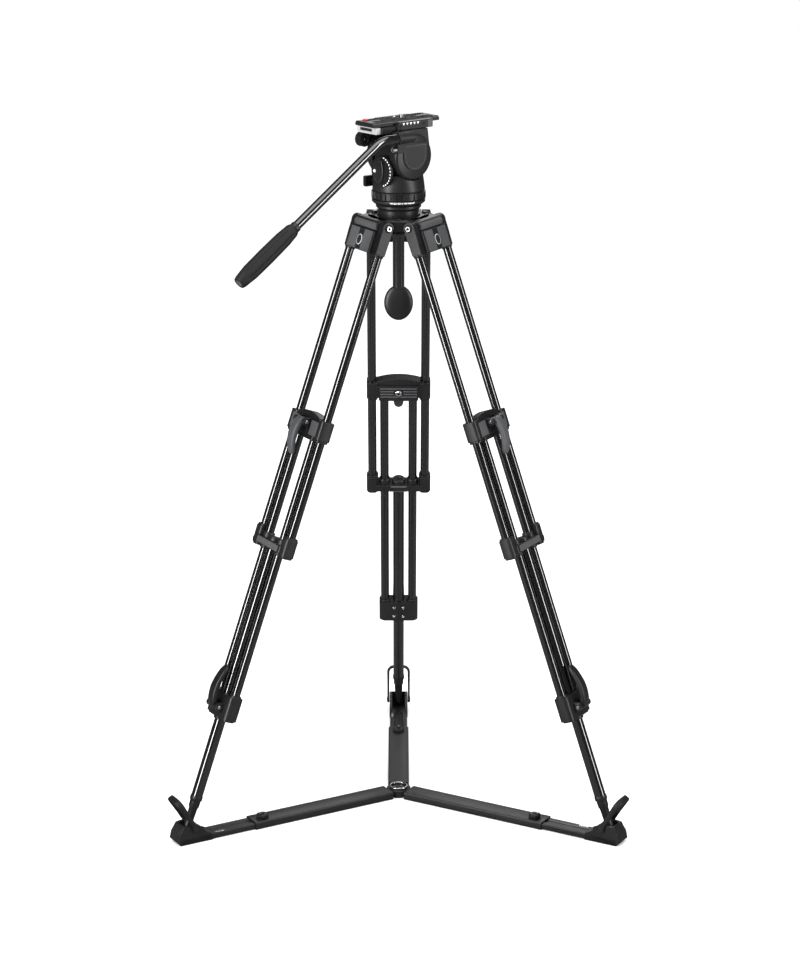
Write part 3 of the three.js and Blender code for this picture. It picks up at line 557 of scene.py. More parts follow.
def footLatch(side):
    # a U loop: straight arms, quarter-circle corners and a grip bar, as one section carried along one path
    s = dict(reach=66, half=20.6, corner=11, wide=4.4, thick=2.2, grip=6.0)
    down = np.linspace(0, s["reach"] - s["corner"], 14)
    q = np.linspace(0, pi / 2, 10)
    across = np.linspace(-s["half"] + s["corner"], s["half"] - s["corner"], 12)[1:-1]
    x = np.concatenate([np.full(14, s["half"]), s["half"] - s["corner"] * (1 - np.cos(q))[1:], across[::-1],
                        -(s["half"] - s["corner"] * (1 - np.cos(q[::-1]))[:-1]), np.full(14, -s["half"])])
    z = np.concatenate([down, s["reach"] - s["corner"] * (1 - np.sin(q))[1:], np.full(10, s["reach"]),
                        s["reach"] - s["corner"] * (1 - np.sin(q[::-1]))[:-1], down[::-1]])
    centres = np.column_stack([x, np.zeros_like(x), z])
    tangent = np.gradient(centres, axis=0)
    tangent /= np.linalg.norm(tangent, axis=1)[:, None]
    flat = np.tile([0.0, 1.0, 0.0], (len(x), 1))
    level = np.clip((z - 30) / 30, 0, 1)
    loop = loft(centres, flat, np.cross(tangent, flat), s["wide"] + 1.2 * level, s["thick"] + 0.5 * level,
                power=3.6)
    eye = lathe([(0, -2.3), (6.6, -2.3), (7, -1.9), (7, 1.9), (6.6, 2.3), (0, 2.3)], "x", sides=32)
    eyes = [moved(eye, Matrix.Translation((way * s["half"], 0, 0))) for way in both]
    lean = Matrix.Rotation(-31 * pi / 180, 4, "X")
    turnIt = Matrix.Translation((0, spreader["latchR"], spreader["latchZ"])) @ lean
    makePiece(f"footLatch_{side}", moved(together(loop, *eyes), turnIt), rubber, f"foot_latch_{side}",
              [f"foot_latch_{side}"], armMatrix(side))


def hub():
    # a turned disc, and a ring whose points are a circle carried round a circle
    h = spreader["height"]
    body = lathe([(0, 0), (21, 0), (22, 1), (22, h - 1.4), (20.6, h), (0, h)], sides=64)
    makePiece("hubBody", body, casting, "spreader", ["spreader_hub"])
    t = np.linspace(0, 2 * pi, 56, endpoint=False)
    v = np.linspace(0, 2 * pi, 14, endpoint=False)
    # a ring of round section, laid flat on the hub
    ringRadius, wire = 15.5, 1.9
    reach = ringRadius + wire * np.cos(v[:, None])
    lift = h + 2.3 + wire * np.sin(v[:, None]) + 0 * t
    ring = np.stack([reach * np.cos(t), reach * np.sin(t), lift], -1)
    rows, columns = ring.shape[:2]
    i, j = np.meshgrid(np.arange(rows), np.arange(columns), indexing="ij")
    ni, nj = (i + 1) % rows, (j + 1) % columns
    quads = np.stack([i * columns + j, i * columns + nj, ni * columns + nj, ni * columns + j], -1)
    makePiece("liftRing", (ring.reshape(-1, 3), quads.reshape(-1, 4).tolist()), steel, "hub_ring",
              ["hub_ring"])
    screw = lathe([(0, h - 0.5), (6, h - 0.5), (6, h + 0.8), (5.2, h + 1.4), (2.6, h + 1.4),
                   (2.4, h + 0.4), (0, h + 0.4)], sides=36)
    makePiece("hubScrew", screw, plastic, "spreader")


for side in sides:
    sleeveAndKnob(side)
    armAndBlock(side)
    footLatch(side)
hub()
print("spreader built")

# ---- crown, bowl and its clamp
hingeR, hingeZ = legMatrix("rear").translation.y / mm, legMatrix("rear").translation.z / mm
ballZ = joints["half_ball_level"]["pos_m"][2] / mm


def turned(side):
    return armMatrix(side)


def crown():
    # a turned ring with three wings, each a side outline carried across
    top = ballZ - 6
    ring = lathe([(29, 1073), (54, 1073), (56, 1075), (56, top - 2.5), (53.5, top), (42, top),
                  (41, top + 0.6), (38.4, top + 0.6), (36.9, top - 1), (34.6, top - 9), (29, 1073)],
                 sides=96)
    ring = (ring[0], ring[1][:-2])
    makePiece("crownRing", ring, casting, "crown", ["crown"])
    y0, z0 = hingeR, hingeZ
    for side in sides:
        outline = [(36, 1073), (y0 + 4, 1070.6), (y0 + 12, z0 - 7.4), (y0 + 14.2, z0 - 4.6),
                   (y0 + 14.2, z0 + 5), (y0 + 9.6, top - 0.8), (y0 + 8, top), (40, top), (37, top - 1)]
        wing = prism(outline, -40.3, 40.3, "x")
        makePiece(f"crownWing_{side}", wing, casting, "crown", place=turned(side), bevel=1.6)
        # a lighter grey strip on the wing's outer face: painted light
        face = prism([(y0 + 13, z0 - 4.4), (y0 + 15, z0 - 3.8), (y0 + 15, z0 + 4.6), (y0 + 10.2, top - 1.6),
                      (y0 + 8.6, top - 1.8)], -37, 37, "x")
        makePiece(f"wingLitFace_{side}", face, greyAndPaintedLight, "crown", place=turned(side), bevel=0.5)
        heads = []
        for way in both:
            head = lathe([(0, 0), (4.6, 0), (4.9, 0.4), (4.9, 2.8), (4.4, 3.3), (2.6, 3.3), (2.4, 1.6),
                          (0, 1.6)], "x", at=(y0, z0), sides=48)
            heads.append(moved(head, mirror(way, 56.8)))
        makePiece(f"hingeBolt_{side}", together(*heads), steel, "crown", place=turned(side))
        # near-black hex pits and seats under the bolt heads: painted shade
        pit = lathe([(0, 58), (2.2, 58), (2.2, 59), (0, 59)], "x", at=(y0, z0), sides=6)
        seat = lathe([(0, 56.3), (7.4, 56.3), (7.4, 57.2), (0, 57.2)], "x", at=(y0, z0), sides=40)
        pits = together(pit, seat, moved(pit, turnedOver), moved(seat, turnedOver))
        makePiece(f"boltSocket_{side}", pits, shadeAndSeams, "crown", place=turned(side))
    low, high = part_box("bubble_level")
    cx, cy, base = (low.x + high.x) / 2 / mm, (low.y + high.y) / 2 / mm, low.z / mm
    cup = lathe([(0, base), (6.4, base), (6.4, base + 3.6), (5.8, base + 4.4), (4.6, base + 4.4),
                 (4.4, base + 3.4), (0, base + 3.4)], at=(cx, cy), sides=40)
    makePiece("levelCup", cup, plastic, "crown", ["bubble_level"])
    vial = lathe([(0, base + 3.3), (4.4, base + 3.3), (4.2, base + 4), (2.4, base + 4.5), (0, base + 4.6)],
                 at=(cx, cy), sides=32)
    makePiece("levelVial", vial, fluid, "crown")
    bumps = [lathe([(0, top), (5, top), (5, top + 1.8), (4, top + 2.6), (0, top + 2.6)], at=(x, y),
                   sides=28) for x, y in ((46, 22), (0, -50))]
    makePiece("crownPlugs", together(*bumps), plastic, "crown")


def bowlAndClamp():
    # a turned ball and neck, a lobed washer, a rod, and an oval paddle of superellipse sections
    t = np.linspace(-0.62, -0.04, 14)
    cup = [(37.2 * np.cos(v), ballZ + 37.2 * np.sin(v)) for v in t]
    body = lathe([(0, cup[0][1]), *cup, (35.8, ballZ - 1), (35.8, 1104.6), (38.2, 1107.4), (39.8, 1109.2),
                  (39.8, 1113), (39.2, 1113.6), (0, 1113.6)], sides=96)
    makePiece("halfBall", body, casting, "half_ball", ["half_ball"])
    washer = lathe([(0, 1062), (22, 1062), (24.6, 1063.4), (25, 1066), (24.6, 1068.6), (0, 1069)],
                   sides=144, ripple=lambda t, h: 0.7 * np.cos(24 * t) * (h > 1062.5) * (h < 1068.9))
    makePiece("clampWasher", washer, plastic, "bowl_clamp_handle", ["bowl_clamp_handle"])
    rod = lathe([(0, 962), (9.8, 962), (10.3, 966), (10.3, 1052), (11.4, 1056), (14, 1060), (14, 1063),
                 (0, 1063)], sides=64)
    stud = lathe([(0, 1062), (6, 1062), (6, 1076), (0, 1076)], sides=32)
    makePiece("clampRod", together(rod, stud), anodised, "bowl_clamp_handle")
    # the paddle's half width follows an ellipse along its height, and its half depth a flatter one
    u = np.linspace(-1, 1, 40)
    z = 936.0 + 31.5 * np.sin(u * pi / 2)
    ring = np.sqrt(np.clip(1 - ((z - 936.0) / 31.6) ** 2, 0, 1))
    centres = np.column_stack([np.zeros(40), np.zeros(40), z])
    shell = loft(centres, np.tile([1.0, 0, 0], (40, 1)), np.tile([0, 1.0, 0], (40, 1)), 25.6 * ring + 0.1,
                 8.6 * ring ** 0.6 + 0.05, power=2.6, columns=56)
    makePiece("clampPaddle", shell, plastic, "bowl_clamp_handle")


crown()
bowlAndClamp()
print("crown built")

# ---- fluid head
head = headMatrix()


def headPlace(name):  # where a joint's axis passes, in the head's own millimetres
    return (head.inverted() @ Vector(joints[name]["pos_m"])) / mm


tiltZ = headPlace("head_tilt").z
scaleTop, dragTop = 1123.3, 1138.7
bedZ, plateZ = 1248.0, 1256.0


def spun(shell, degrees, axis="Z", centre=(0, 0, 0)):
    there = Matrix.Translation(centre)
    return moved(shell, there @ Matrix.Rotation(degrees * pi / 180, 4, axis) @ there.inverted())


def panStack():
    # turned rings; the drag ring adds a clipped cosine of the angle for its ribs
    s = dict(base=1114.1, radius=46.9, ribs=30, ribDepth=1.5, marks=(-58, -4))
    ring = lathe([(0, s["base"]), (41, s["base"]), (43.8, 1116), (46.4, 1118.4), (46.9, 1119.2),
                  (46.9, scaleTop - 0.4), (46.4, scaleTop), (0, scaleTop)], sides=160)
    makePiece("scaleRing", ring, casting, "half_ball", ["pan_scale_ring"], head)
    ticks = []
    for n, degrees in enumerate(np.linspace(*s["marks"], 19)):
        low = 1119.4 if n % 6 == 3 else 1121.0
        ticks.append(spun(box((46.5, 47.0), (-0.42, 0.42), (low, 1122.9)), degrees))
    dashes = [spun(box((46.5, 47.0), (-2.6, 2.6), (1120.4, 1121.3)), degrees)
              for degrees in (-54, -46, -38, -24, -16, -8)]
    makePiece("panScale", together(*ticks, *dashes), whitePrint, "half_ball", place=head)
    low, high = scaleTop + 0.5, dragTop - 0.3

    def ribbed(t, h):
        inside = (h > low + 1.2) & (h < high - 1.2)
        return np.where(inside, s["ribDepth"] * (np.clip(1.8 * np.cos(s["ribs"] * t), -1, 1) - 0.15), -0.9)

    grip = lathe([(0, low), (45.4, low), (46.4, low + 0.9), (46.4, low + 1.1), (46.4, low + 1.6),
                  (46.4, high - 1.6), (46.4, high - 1.1), (46.4, high - 0.9), (45.4, high), (0, high)],
                 sides=600, ripple=ribbed)
    makePiece("dragRing", grip, plastic, "pan_drag_ring", ["pan_drag_ring"], head, sharp=50)


def panBase():
    # a cone whose top edge dips by the circle that the cheeks swing on, and a round-topped core
    s = dict(foot=46.0, waist=42.5, top=1168.0, swing=41.6, core=23.3)
    t = np.linspace(0, 2 * pi, 180, endpoint=False)

    def ceiling(x, y):  # the cone's top, hollowed where the cheeks and covers swing past
        dip = tiltZ - np.sqrt(np.maximum(s["swing"] ** 2 - y ** 2, 1))
        return np.where(np.abs(x) > s["core"], np.minimum(s["top"], dip), s["top"])

    wall = np.linspace(0, 1, 14)[:, None]
    radius = s["foot"] - (s["foot"] - s["waist"]) * wall ** 1.15
    roof = ceiling(s["waist"] * np.cos(t), s["waist"] * np.sin(t))[None, :]
    rim = 1141.4 + (roof - 1141.4) * wall
    side = np.stack([radius * np.cos(t), radius * np.sin(t), rim], -1)
    inward = np.array([1.0, 0.985, 0.93, 0.86, 0.78, 0.7, 0.62, 0.55, 0.3])[:, None] * (s["waist"] - 0.7)
    x, y = inward * np.cos(t), inward * np.sin(t)
    cap = np.stack([x, y, ceiling(x, y) + 0.3], -1)
    skirt = np.stack([np.stack([r * np.cos(t), r * np.sin(t), np.full_like(t, z)], -1)
                      for r, z in ((20, 1139), (45.4, 1139), (46, 1139.7), (46, 1141.2))])
    makePiece("panCone", gridShell(np.concatenate([skirt, side, cap])), casting, "pan_base", ["pan_base"],
              head, sharp=30)
    core = np.concatenate([[(-35.6, 1160), (33.6, 1160)], arc(0, tiltZ, 33.8, 0, 180, 40),
                           [(-35.6, tiltZ - 8)]])
    makePiece("panCore", prism(core, -s["core"], s["core"], "x"), casting, "pan_base", place=head,
              bevel=1.6)
    dial = headPlace("tilt_drag_turn")
    a = np.linspace(0, 2 * pi, 90, endpoint=False)
    seat = np.column_stack([dial.z + 25 * np.sin(a), np.minimum(dial.x + 25 * np.cos(a), s["core"])])
    brake = lathe([(0, -46), (8.8, -46), (9, -45.6), (9, -30), (0, -30)], "x",
                  at=(headPlace("pan_brake_turn").y, headPlace("pan_brake_turn").z), sides=48)
    makePiece("dialSeat", together(prism(seat, -41.9, -24, "y"), brake), casting, "pan_base", place=head,
              bevel=0.8)


def dragDial():
    # a turned dial with a fine cosine knurl, and a bar bent by a sine
    s = dict(radius=27.5, back=-41.7, face=-46.4, bar=21.5, marks=(-72, 72))
    centre = headPlace("tilt_drag_turn")
    r, back, face = s["radius"], s["back"], s["face"]
    knurl = lambda t, h: np.where((h < back - 0.6) & (h > face + 1.4), 0.25 * np.cos(60 * t) - 0.25, -0.25)
    disc = lathe([(0, back), (r - 1, back), (r, back - 0.7), (r, face + 1.3), (r - 1.2, face),
                  (r - 3.4, face - 0.1), (r - 4, face + 0.7), (r - 4.6, face + 0.9), (0, face + 0.9)],
                 "y", at=(centre.z, centre.x), sides=240, ripple=knurl)
    t = np.linspace(0, 1, 48)
    bend = np.column_stack([centre.x + 4.5 * np.sin(pi * t) - 1.5, np.full(48, face),
                            centre.z + s["bar"] * (2 * t - 1)])
    bar = loft(bend, np.tile([1.0, 0, 0], (48, 1)), np.tile([0, 1.0, 0], (48, 1)), 4.6 * domed(t, 4),
               2.5 * domed(t, 6), 3)
    makePiece("dragDial", together(disc, bar), plastic, "tilt_drag_dial", ["tilt_drag_dial"], head)
    # a thin lighter strip along the bar's left edge: a painted highlight
    ridge = loft(bend + np.array([-4.4, -0.4, 0]), np.tile([1.0, 0, 0], (48, 1)),
                 np.tile([0, 1.0, 0], (48, 1)), 0.5 * domed(t, 4), 0.7 * domed(t, 6), 2)
    makePiece("dialHighlight", ridge, greyAndPaintedLight, "tilt_drag_dial", place=head)
    marks = [spun(moved(box((r - 2.9, r - 1.3), (face - 0.35, face + 0.2), (-1.5, 1.5)),
                        Matrix.Translation((centre.x, 0, centre.z))), -degrees, "Y",
                  (centre.x, 0, centre.z)) for degrees in np.linspace(*s["marks"], 12)]
    makePiece("dialMarks", together(*marks), whitePrint, "tilt_drag_dial", place=head)
    dot = lathe([(0, face + 1.2), (2.7, face + 1.2), (2.7, face - 0.6), (2.1, face - 1.0),
                 (0, face - 1.0)], "y", at=(centre.z - 1, centre.x - 17.6), sides=32)
    makePiece("dialDot", dot, whitePrint, "tilt_drag_dial", place=head)


def tiltBody():
    # two cheeks: a circle below, straight flanks above, joined by a bridge
    s = dict(inside=24.2, out=37.9, radius=40.8, shoulder=34.8)
    top = bedZ - 0.4
    cheek = np.concatenate([arc(0, tiltZ, s["radius"], 166, 374, 90), [(s["shoulder"], top),
                                                                       (-s["shoulder"], top)]])
    cheeks = [prism(cheek, s["inside"], s["out"], "x"), prism(cheek, -s["out"], -s["inside"], "x")]
    bridge = box((-37, 37), (-s["shoulder"], s["shoulder"]), (bedZ - 5.6, top))
    knob = headPlace("counterbalance_turn")
    bracket = prism([(-61.6, knob.z - 6), (-60, knob.z - 7.2), (-31, knob.z - 7.2), (-31, knob.z + 7.2),
                     (-60, knob.z + 7.2), (-61.6, knob.z + 6)], -41.3, -35.1, "x")
    makePiece("tiltBody", together(*cheeks, bridge, bracket), casting, "tilt_platform", ["tilt_body"],
              head, bevel=2.2)
    flag = box((-41, -35.6), (-60.8, -51), (knob.z + 7.0, knob.z + 7.45))
    makePiece("balanceFlag", flag, redPaint, "tilt_platform", place=head)


def sideCovers():
    # turned covers, the right one with a shield: square top and half-round foot
    s = dict(radius=40.5, badge=26.4, y=1.0, z=1203.5, top=1225.0)
    cover = lathe([(0, 38.3), (39.9, 38.3), (40.4, 38.9), (40.1, 40.4), (38.6, 42.2), (36.6, 43),
                   (0, 43)], "x", at=(0, tiltZ), sides=160)
    makePiece("coverRight", cover, casting, "tilt_platform", ["side_cover_right"], head)

    def shield(inset, low, high):  # square top, half-round foot
        r = s["badge"] - inset
        outline = np.concatenate([arc(s["y"], s["z"], r, 180, 360, 60),
                                  [(s["y"] + r, s["top"] - inset), (s["y"] - r, s["top"] - inset)]])
        return prism(outline, low, high, "x")

    makePiece("coverPanel", shield(0, 42.4, 45.2), plastic, "tilt_platform", place=head, bevel=0.8)
    makePiece("coverLine", shield(3.6, 44.8, 45.5), greyAndPaintedLight, "tilt_platform", place=head, bevel=0.2)
    makePiece("coverInset", shield(4.4, 45.2, 45.8), plastic, "tilt_platform", place=head, bevel=0.3)
    left = lathe([(0, -43), (30, -43), (35, -42.2), (38.4, -40.6), (39.8, -39), (39.6, -38.3),
                  (0, -38.3)], "x", at=(0, tiltZ), sides=160)
    groove = lathe([(0, -43.3), (21.5, -43.3), (21.9, -43.0), (21.9, -42.6), (0, -42.6)], "x",
                   at=(0, tiltZ), sides=120)
    makePiece("coverLeft", left, casting, "tilt_platform", ["side_cover_left"], head)
    makePiece("coverLeftPlate", groove, plastic, "tilt_platform", place=head)
    screws = [lathe([(0, -43.2), (1.2, -43.2), (1.4, -42.6), (2.6, -42.9), (2.9, -42.6), (2.9, -41),
                     (0, -41)], "x", at=(27 * np.cos(a), tiltZ + 27 * np.sin(a)), sides=24)
              for a in (0.5, 2.6, 4.7)]
    makePiece("coverScrews", together(*screws), steel, "tilt_platform", place=head)


def knobsAndLevers():
    # a knob with nine flutes as a cosine of the angle, and a rounded brake lever
    at = headPlace("counterbalance_turn")
    y, z = at.y, at.z
    flutes = lambda t, h: np.where((h < -33.6) | (h > -22.6), -0.2, -0.9 + 0.9 * np.cos(9 * t))
    knob = lathe([(0, -34.5), (12.4, -34.5), (13.4, -33.8), (13.4, -33.4), (13.4, -23.0), (13.4, -22.4),
                  (12.2, -21.5), (7.4, -21.4), (6.8, -22.6), (0, -22.6)], "x", at=(y, z), sides=270,
                 ripple=flutes)
    makePiece("balanceKnob", knob, plastic, "counterbalance_knob", ["counterbalance_knob"], head)
    rim = lathe([(12.2, -34.6), (12.9, -34.6), (13.3, -34.0), (12.6, -33.6), (12.2, -34.6)], "x",
                at=(y, z), sides=120)
    makePiece("balanceRim", (rim[0], rim[1][:-2]), steel, "counterbalance_knob", place=head)
    screw = lathe([(0, -23.2), (2.4, -23.2), (2.4, -21.9), (1.9, -21.5), (0, -21.5)], "x", at=(y, z),
                  sides=28)
    makePiece("balanceScrew", screw, steel, "counterbalance_knob", place=head)
    brake = headPlace("pan_brake_turn")
    pivot = lathe([(0, -54), (8, -54), (8.8, -53.2), (8.8, -46.9), (0, -46.5)], "x",
                  at=(brake.y, brake.z), sides=56)
    paddle = prism(roundRect(9.6, 11.2, 3, centre=(brake.z, brake.y - 11.4))[:, ::-1], -53.4, -47.1, "x")
    grips = [prism(roundRect(8.2, 0.7, 0.6, centre=(brake.z, y))[:, ::-1], -54.0, -53, "x")
             for y in np.linspace(brake.y - 20, brake.y - 12, 5)]
    makePiece("panBrake", together(pivot, paddle, *grips), plastic, "pan_brake_lever",
              ["pan_brake_lever"], head, bevel=0.6)


def plateBed():
    # side outlines carried across: a bed with a nose, and two rails
    s = dict(half=30.0, foot=35.8, back=-61.8, front=47.8, nose=1243.8, footTop=1252.0, railTop=1262.6,
             rail=(25.9, 35.9))
    nose = [(s["back"], s["nose"] + 1.2), (s["back"] + 1.2, s["nose"]), (-44, s["nose"]), (-36.4, bedZ),
            (s["front"], bedZ), (s["front"], plateZ - 0.4), (s["back"], plateZ - 0.4)]
    shell = prism(nose, -s["half"], s["half"], "x")
    foot = box((-s["foot"], s["foot"]), (-29.6, s["front"]), (bedZ + 0.1, s["footTop"]))
    outline = np.concatenate([[(-29.8, bedZ + 0.2), (s["front"], bedZ + 0.2), (s["front"], s["railTop"]),
                               (-20, s["railTop"])], arc(-22.8, s["railTop"] - 7, 7, 90, 180, 10)])
    rails = [prism(outline, *span(way, s["rail"][0], s["rail"][1]), "x") for way in both]
    makePiece("plateBed", together(shell, foot, *rails), casting, "tilt_platform", ["plate_bed"], head,
              bevel=1.0)
    ends = [box(span(way, 30.5, 35.98), (36.5, 48), (bedZ + 0.3, s["railTop"] - 0.8)) for way in both]
    makePiece("railEnds", together(*ends), greyAndPaintedLight, "tilt_platform", place=head, bevel=0.9)
    marks = [prism([(y - 2.6, 1260.4), (y + 2.6, 1260.4), (y, 1256.2)], 35.8, 36.0, "x")
             for y in (-18, -10, -2, 6, 14)]
    makePiece("railMarks", together(*marks), whitePrint, "tilt_platform", place=head)
    # near-black discs at the rail holes: painted shade
    holes = [lathe([(0, 35.2), (3.0, 35.2), (3.0, 36.0), (0, 36.0)], "x", at=(y, 1256.0), sides=32)
             for y in (-25, 27)]
    makePiece("railHoles", together(*holes), shadeAndSeams, "tilt_platform", place=head)


def cameraPlate():
    # a bevelled section carried along, with pads, ribs, a slot and a screw
    s = dict(half=25.0, back=-76.8, front=71.8, edge=1260.8, top=1264.1, bevel=3.2)
    low, high, h = plateZ + 0.1, s["top"], s["half"]
    outline = [(-h, low), (h, low), (h, s["edge"]), (h - s["bevel"], high), (s["bevel"] - h, high),
               (-h, s["edge"])]
    top = prism(np.array(outline)[:, ::-1], s["back"], s["front"], "y")
    makePiece("cameraPlate", top, casting, "camera_plate", ["camera_plate"], head, bevel=0.7)
    strips = [prism([(high + 0.02, way * (h - s["bevel"] - 0.2)), (high + 0.02,
                                                                   way * (h - s["bevel"] - 0.9)),
                     (high - 0.5, way * (h - s["bevel"] - 0.9)), (s["edge"] + 0.6, way * (h - 1.2)),
                     (s["edge"] + 0.6, way * (h - 0.35))], s["back"] + 1.5, s["front"] - 1.5, "y")
              for way in both]
    makePiece("plateEdges", together(*strips), greyAndPaintedLight, "camera_plate", place=head)
    pads = [prism(roundRect(7.6, 66, 2.5, centre=(way * 12.6, -2)), high - 0.3, high + 0.3) for way in both]
    ridges = [box((way * 12.6 - 6.9, way * 12.6 + 6.9), (y, y + 1.5), (high + 0.1, high + 0.75))
              for way in both for y in range(-62, 60, 5)]
    makePiece("platePads", together(*pads, *ridges), rubber, "camera_plate", place=head)
    # near-black slot floor in the plate top: painted shade
    slot = prism(roundRect(3.6, 40.5, 3.5, centre=(0, -1)), high - 0.4, high + 0.05)
    makePiece("plateSlot", slot, shadeAndSeams, "camera_plate", place=head)
    at = headPlace("camera_screw_turn")
    thread = [(3.15 - 0.4 * (n % 2), high + 0.1 + 0.4 * n) for n in range(15)]
    makePiece("cameraScrew", lathe([(0, high), (3.1, high), *thread, (2.2, high + 6.2), (0, high + 6.4)],
                                   at=(at.x, at.y), sides=40), steel, "camera_screw", ["camera_screw"],
              head)
    pin = lathe([(0, high), (2.5, high), (2.5, high + 3.2), (1.9, high + 3.9), (0, high + 3.9)],
                at=(0, -10.5), sides=32)
    makePiece("plateStop", pin, steel, "camera_plate", place=head)
    low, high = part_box("plate_safety_button")
    button = lathe([(0, low.z / mm), (4.8, low.z / mm), (4.8, high.z / mm - 1), (4.0, high.z / mm - 0.2),
                    (0, high.z / mm - 0.1)], at=((low.x + high.x) / 2 / mm, (low.y + high.y) / 2 / mm),
                   sides=40)
    makePiece("safetyButton", button, redPaint, "plate_safety_button", ["plate_safety_button"])


def releaseFrame():
    s = dict(half=26.8, back=-70.8, front=-62.4, low=1243.9, high=1255.2)
    outer = roundRect(s["half"], (s["high"] - s["low"]) / 2, 1.6, centre=(0, (s["high"] + s["low"]) / 2))
    hole = roundRect(16, 2.7, 1.4, centre=(-3, 1250.4))
    # the front face is a ring between the outer outline and the slot, both with the same number of points
    rows = [np.column_stack([o[:, 0], np.full(len(o), y), o[:, 1]]) for o,
            y in ((outer, s["front"]), (outer, s["back"] + 0.8), (outer * [0.985, 1], s["back"]),
                  (hole, s["back"]), (hole, s["back"] + 4))]
    makePiece("releaseFrame", gridShell(np.stack(rows)), silver, "plate_release", ["plate_release_frame"],
              head, bevel=0.3)
    # near-black sheet inside the release slot: painted shade
    floor = prism(roundRect(2.6, 15.9, 1.4, centre=(1250.4, -3)), s["back"] + 3.4, s["back"] + 4.1, "y")
    makePiece("releaseSlot", floor, shadeAndSeams, "plate_release", place=head)


barSizes = dict(x=57, lead=18, bend=55, drop=33.9 * pi / 180, straight=212.5, start=-50.3, radius=8.0,
                grip=139.6)
barSizes["z"] = headPlace("pan_bar_angle").z
barSizes["total"] = barSizes["lead"] + barSizes["bend"] * barSizes["drop"] + barSizes["straight"]


def barPath(s):
    # a short level lead, one bend of constant radius, then a straight slope, by distance s along the bar
    b = barSizes
    angle = np.clip((s - b["lead"]) / b["bend"], 0, b["drop"])
    rest = np.maximum(s - b["lead"] - b["bend"] * b["drop"], 0)
    y = b["start"] - np.minimum(s, b["lead"]) - b["bend"] * np.sin(angle) - rest * np.cos(b["drop"])
    z = b["z"] - b["bend"] * (1 - np.cos(angle)) - rest * np.sin(b["drop"])
    centres, across, out = alongYZ(y, z)
    centres[:, 0] = b["x"]
    return centres, across, out


def barClamp():
    # a turned barrel and rosette with a fine cosine face, and a lug
    b = barSizes
    barrel = lathe([(0, -50), (9.4, -50), (10.4, -49), (10.4, -44.6), (9.9, -44.2), (9.9, -17),
                    (8.8, -15.2), (0, -15.2)], "y", at=(b["z"], b["x"]), sides=90)
    rosette = lathe([(0, 43.4), (8.2, 43.4), (8.8, 44.2), (8.8, 51), (0, 51)], "x", at=(-26, b["z"]),
                    sides=160, ripple=lambda t, h: np.where(h < 46, 0.3 * np.cos(32 * t), 0))
    lug = prism([(1212.4, 49.4), (1212.4, 57.6), (1232, 57.6), (1232, 49.4)], -49.7, -31.4, "y")
    makePiece("barClamp", together(barrel, rosette, lug), plastic, "pan_bar", ["pan_bar_clamp"], head,
              bevel=0.8)
    cap = prism(roundRect(6.4, 6.6, 1.2, centre=(-40.6, 1221)), 57.2, 57.9, "x")
    makePiece("clampFacing", cap, casting, "pan_bar", place=head, bevel=0.2)
    at = headPlace("bar_clamp_screw_turn")
    knob = lathe([(0, -58.2), (1.6, -58.2), (1.9, -57.4), (3.6, -58), (4.5, -57.2), (4.6, -50.8),
                  (0, -50.6)], "y", at=(at.z, at.x), sides=96)
    makePiece("clampScrew", knob, steel, "pan_bar_clamp_knob", ["pan_bar_clamp_knob"], head)


def panBar():
    b = barSizes
    centres, across, out = barPath(np.linspace(0, b["total"], 120))
    size = np.full(120, b["radius"])
    makePiece("panBar", loft(centres, across, out, size, size, 2, 56), anodised, "pan_bar", ["pan_bar"],
              head)
    # the grip: a round-shouldered taper with six long flats pressed into it
    u = np.linspace(0, 1, 110)
    centres, across, out = barPath(b["total"] + b["grip"] * u)
    t = np.linspace(0, 2 * pi, 96, endpoint=False)
    radius = np.interp(u, [0, 0.012, 0.05, 0.2, 0.5, 0.8, 0.93, 0.985, 1],
                       [9.6, 10.8, 12.6, 14.6, 15.3, 14.8, 12.8, 11.2, 10.2])
    flats = np.interp(u, [0, 0.05, 0.14, 0.86, 0.95, 1], [0, 0, 1, 1, 0, 0])
    profile = radius[:, None] - 2.0 * flats[:, None] * np.clip(np.cos(6 * t)[None, :], 0, 1) ** 1.5
    points = (centres[:, None, :] + across[:, None, :] * (profile * np.cos(t))[..., None]
              + out[:, None, :] * (profile * np.sin(t))[..., None])
    makePiece("barGrip", gridShell(points), rubber, "pan_bar", ["pan_bar_grip"], head)
    centres, across, out = barPath(b["total"] + b["grip"] + np.array([-0.3, 0.05]))
    cap = loft(centres, across, out, np.full(2, 6.4), np.full(2, 6.4), 2, 36)
    makePiece("gripCap", cap, greyAndPaintedLight, "pan_bar", place=head)
    centres, across, out = barPath(b["total"] + np.array([-7, -6.4, 0.6]))
    wide = np.array([8.6, 9.4, 9.4])
    makePiece("gripFerrule", loft(centres, across, out, wide, wide, 2, 56), plastic, "pan_bar", place=head)


panStack()
panBase()
dragDial()
tiltBody()
sideCovers()
knobsAndLevers()
plateBed()
cameraPlate()
releaseFrame()
barClamp()
panBar()
print("head built")

# ---- stage
studio = dict(distance=4.80, height=1.9975, down=16.31, lens=124.7, shiftX=0.0018)


def areaLight(name, at, target, size, power):
    data = bpy.data.lights.new(name, "AREA")
    data.shape = "RECTANGLE"
    data.size, data.size_y = size
    data.energy = power
    lamp = bpy.data.objects.new(name, data)
    lamp.location = at
    lamp.rotation_euler = (Vector(target) - Vector(at)).to_track_quat("-Z", "Y").to_euler()
    bpy.context.scene.collection.objects.link(lamp)


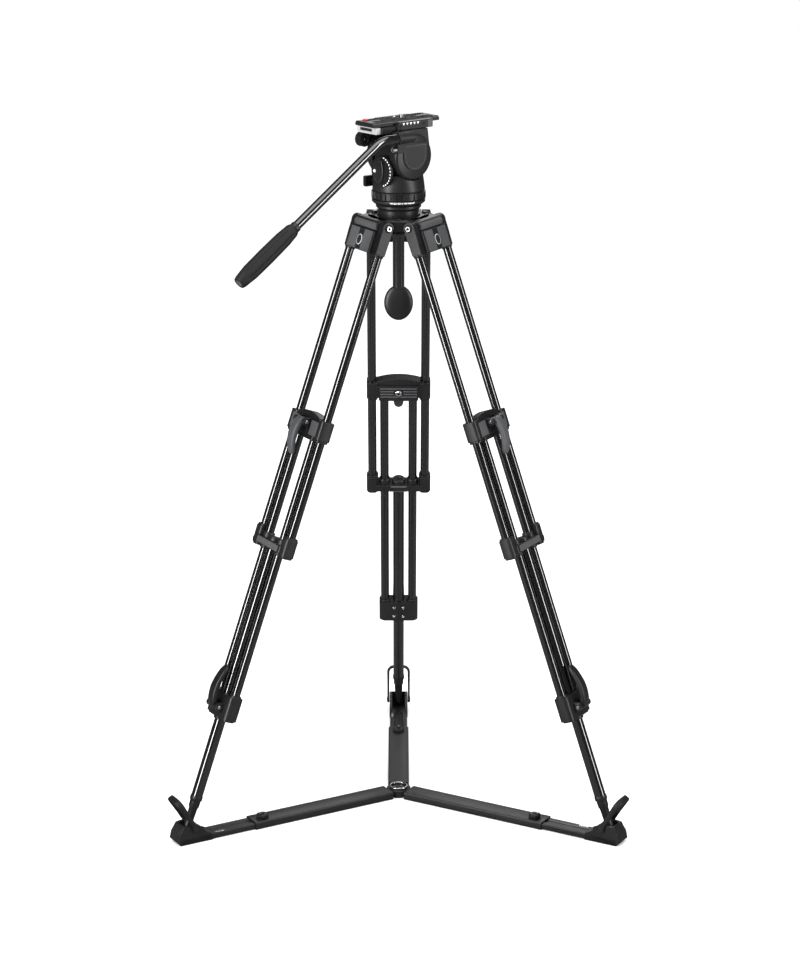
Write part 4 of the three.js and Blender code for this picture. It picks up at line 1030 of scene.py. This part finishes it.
def stageMaterial(name, seen, glossy):
    # a pale stage colour that polished parts see as darker, so that their cores stay black
    made = bpy.data.materials.new(name)
    made.use_nodes = True
    shader = made.node_tree.nodes["Principled BSDF"]
    rays = made.node_tree.nodes.new("ShaderNodeLightPath")
    mix = made.node_tree.nodes.new("ShaderNodeMix")
    mix.data_type = "RGBA"
    mix.inputs[6].default_value, mix.inputs[7].default_value = (*seen, 1), (*glossy, 1)
    made.node_tree.links.new(rays.outputs["Is Glossy Ray"], mix.inputs[0])
    made.node_tree.links.new(mix.outputs[2], shader.inputs["Base Color"])
    shader.inputs["Roughness"].default_value = 0.9
    shader.inputs["Specular IOR Level"].default_value = 0.1
    return made


def buildStage():
    mesh = bpy.data.meshes.new("floor")
    mesh.from_pydata([(-12, -12, 0), (12, -12, 0), (12, 12, 0), (-12, 12, 0)], [], [(0, 1, 2, 3)])
    floor = bpy.data.objects.new("floor", mesh)
    bpy.context.scene.collection.objects.link(floor)
    mesh.materials.append(stageMaterial("floor_white", (0.97, 0.97, 0.97), (0.12, 0.12, 0.12)))
    world = bpy.data.worlds.new("studio")
    bpy.context.scene.world = world
    world.use_nodes = True
    tree = world.node_tree
    back = tree.nodes["Background"]
    rays = tree.nodes.new("ShaderNodeLightPath")
    strength = tree.nodes.new("ShaderNodeMath")
    strength.operation = "MULTIPLY_ADD"
    strength.inputs[1].default_value, strength.inputs[2].default_value = -0.97, 1.05
    tree.links.new(rays.outputs["Is Glossy Ray"], strength.inputs[0])
    tree.links.new(strength.outputs[0], back.inputs["Strength"])
    back.inputs["Color"].default_value = (1, 1, 1, 1)
    areaLight("softboxLeft", (-2.5, -2.3, 1.5), (0, 0, 0.7), (0.6, 3.0), 125)
    areaLight("softboxRight", (2.9, -1.5, 1.5), (0, 0, 0.7), (0.5, 3.0), 60)
    areaLight("softboxTop", (0.3, -0.6, 3.6), (0, 0, 0.4), (3.0, 2.4), 60)
    areaLight("fillFront", (-0.9, -4.6, 2.6), (0, 0, 0.8), (1.4, 1.4), 12)
    areaLight("rimBack", (0.6, 3.4, 2.4), (0, 0, 0.6), (2.2, 1.6), 25)
    data = bpy.data.cameras.new("camera")
    data.sensor_fit, data.sensor_width, data.lens = "HORIZONTAL", 36, studio["lens"]
    data.shift_x = studio["shiftX"]
    camera = bpy.data.objects.new("camera", data)
    camera.location = (0, -studio["distance"], studio["height"])
    camera.rotation_euler = ((90 - studio["down"]) * pi / 180, 0, 0)
    bpy.context.scene.collection.objects.link(camera)
    bpy.context.scene.camera = camera
    bpy.context.scene.view_settings.view_transform = "Standard"


buildStage()
print("stage ready")
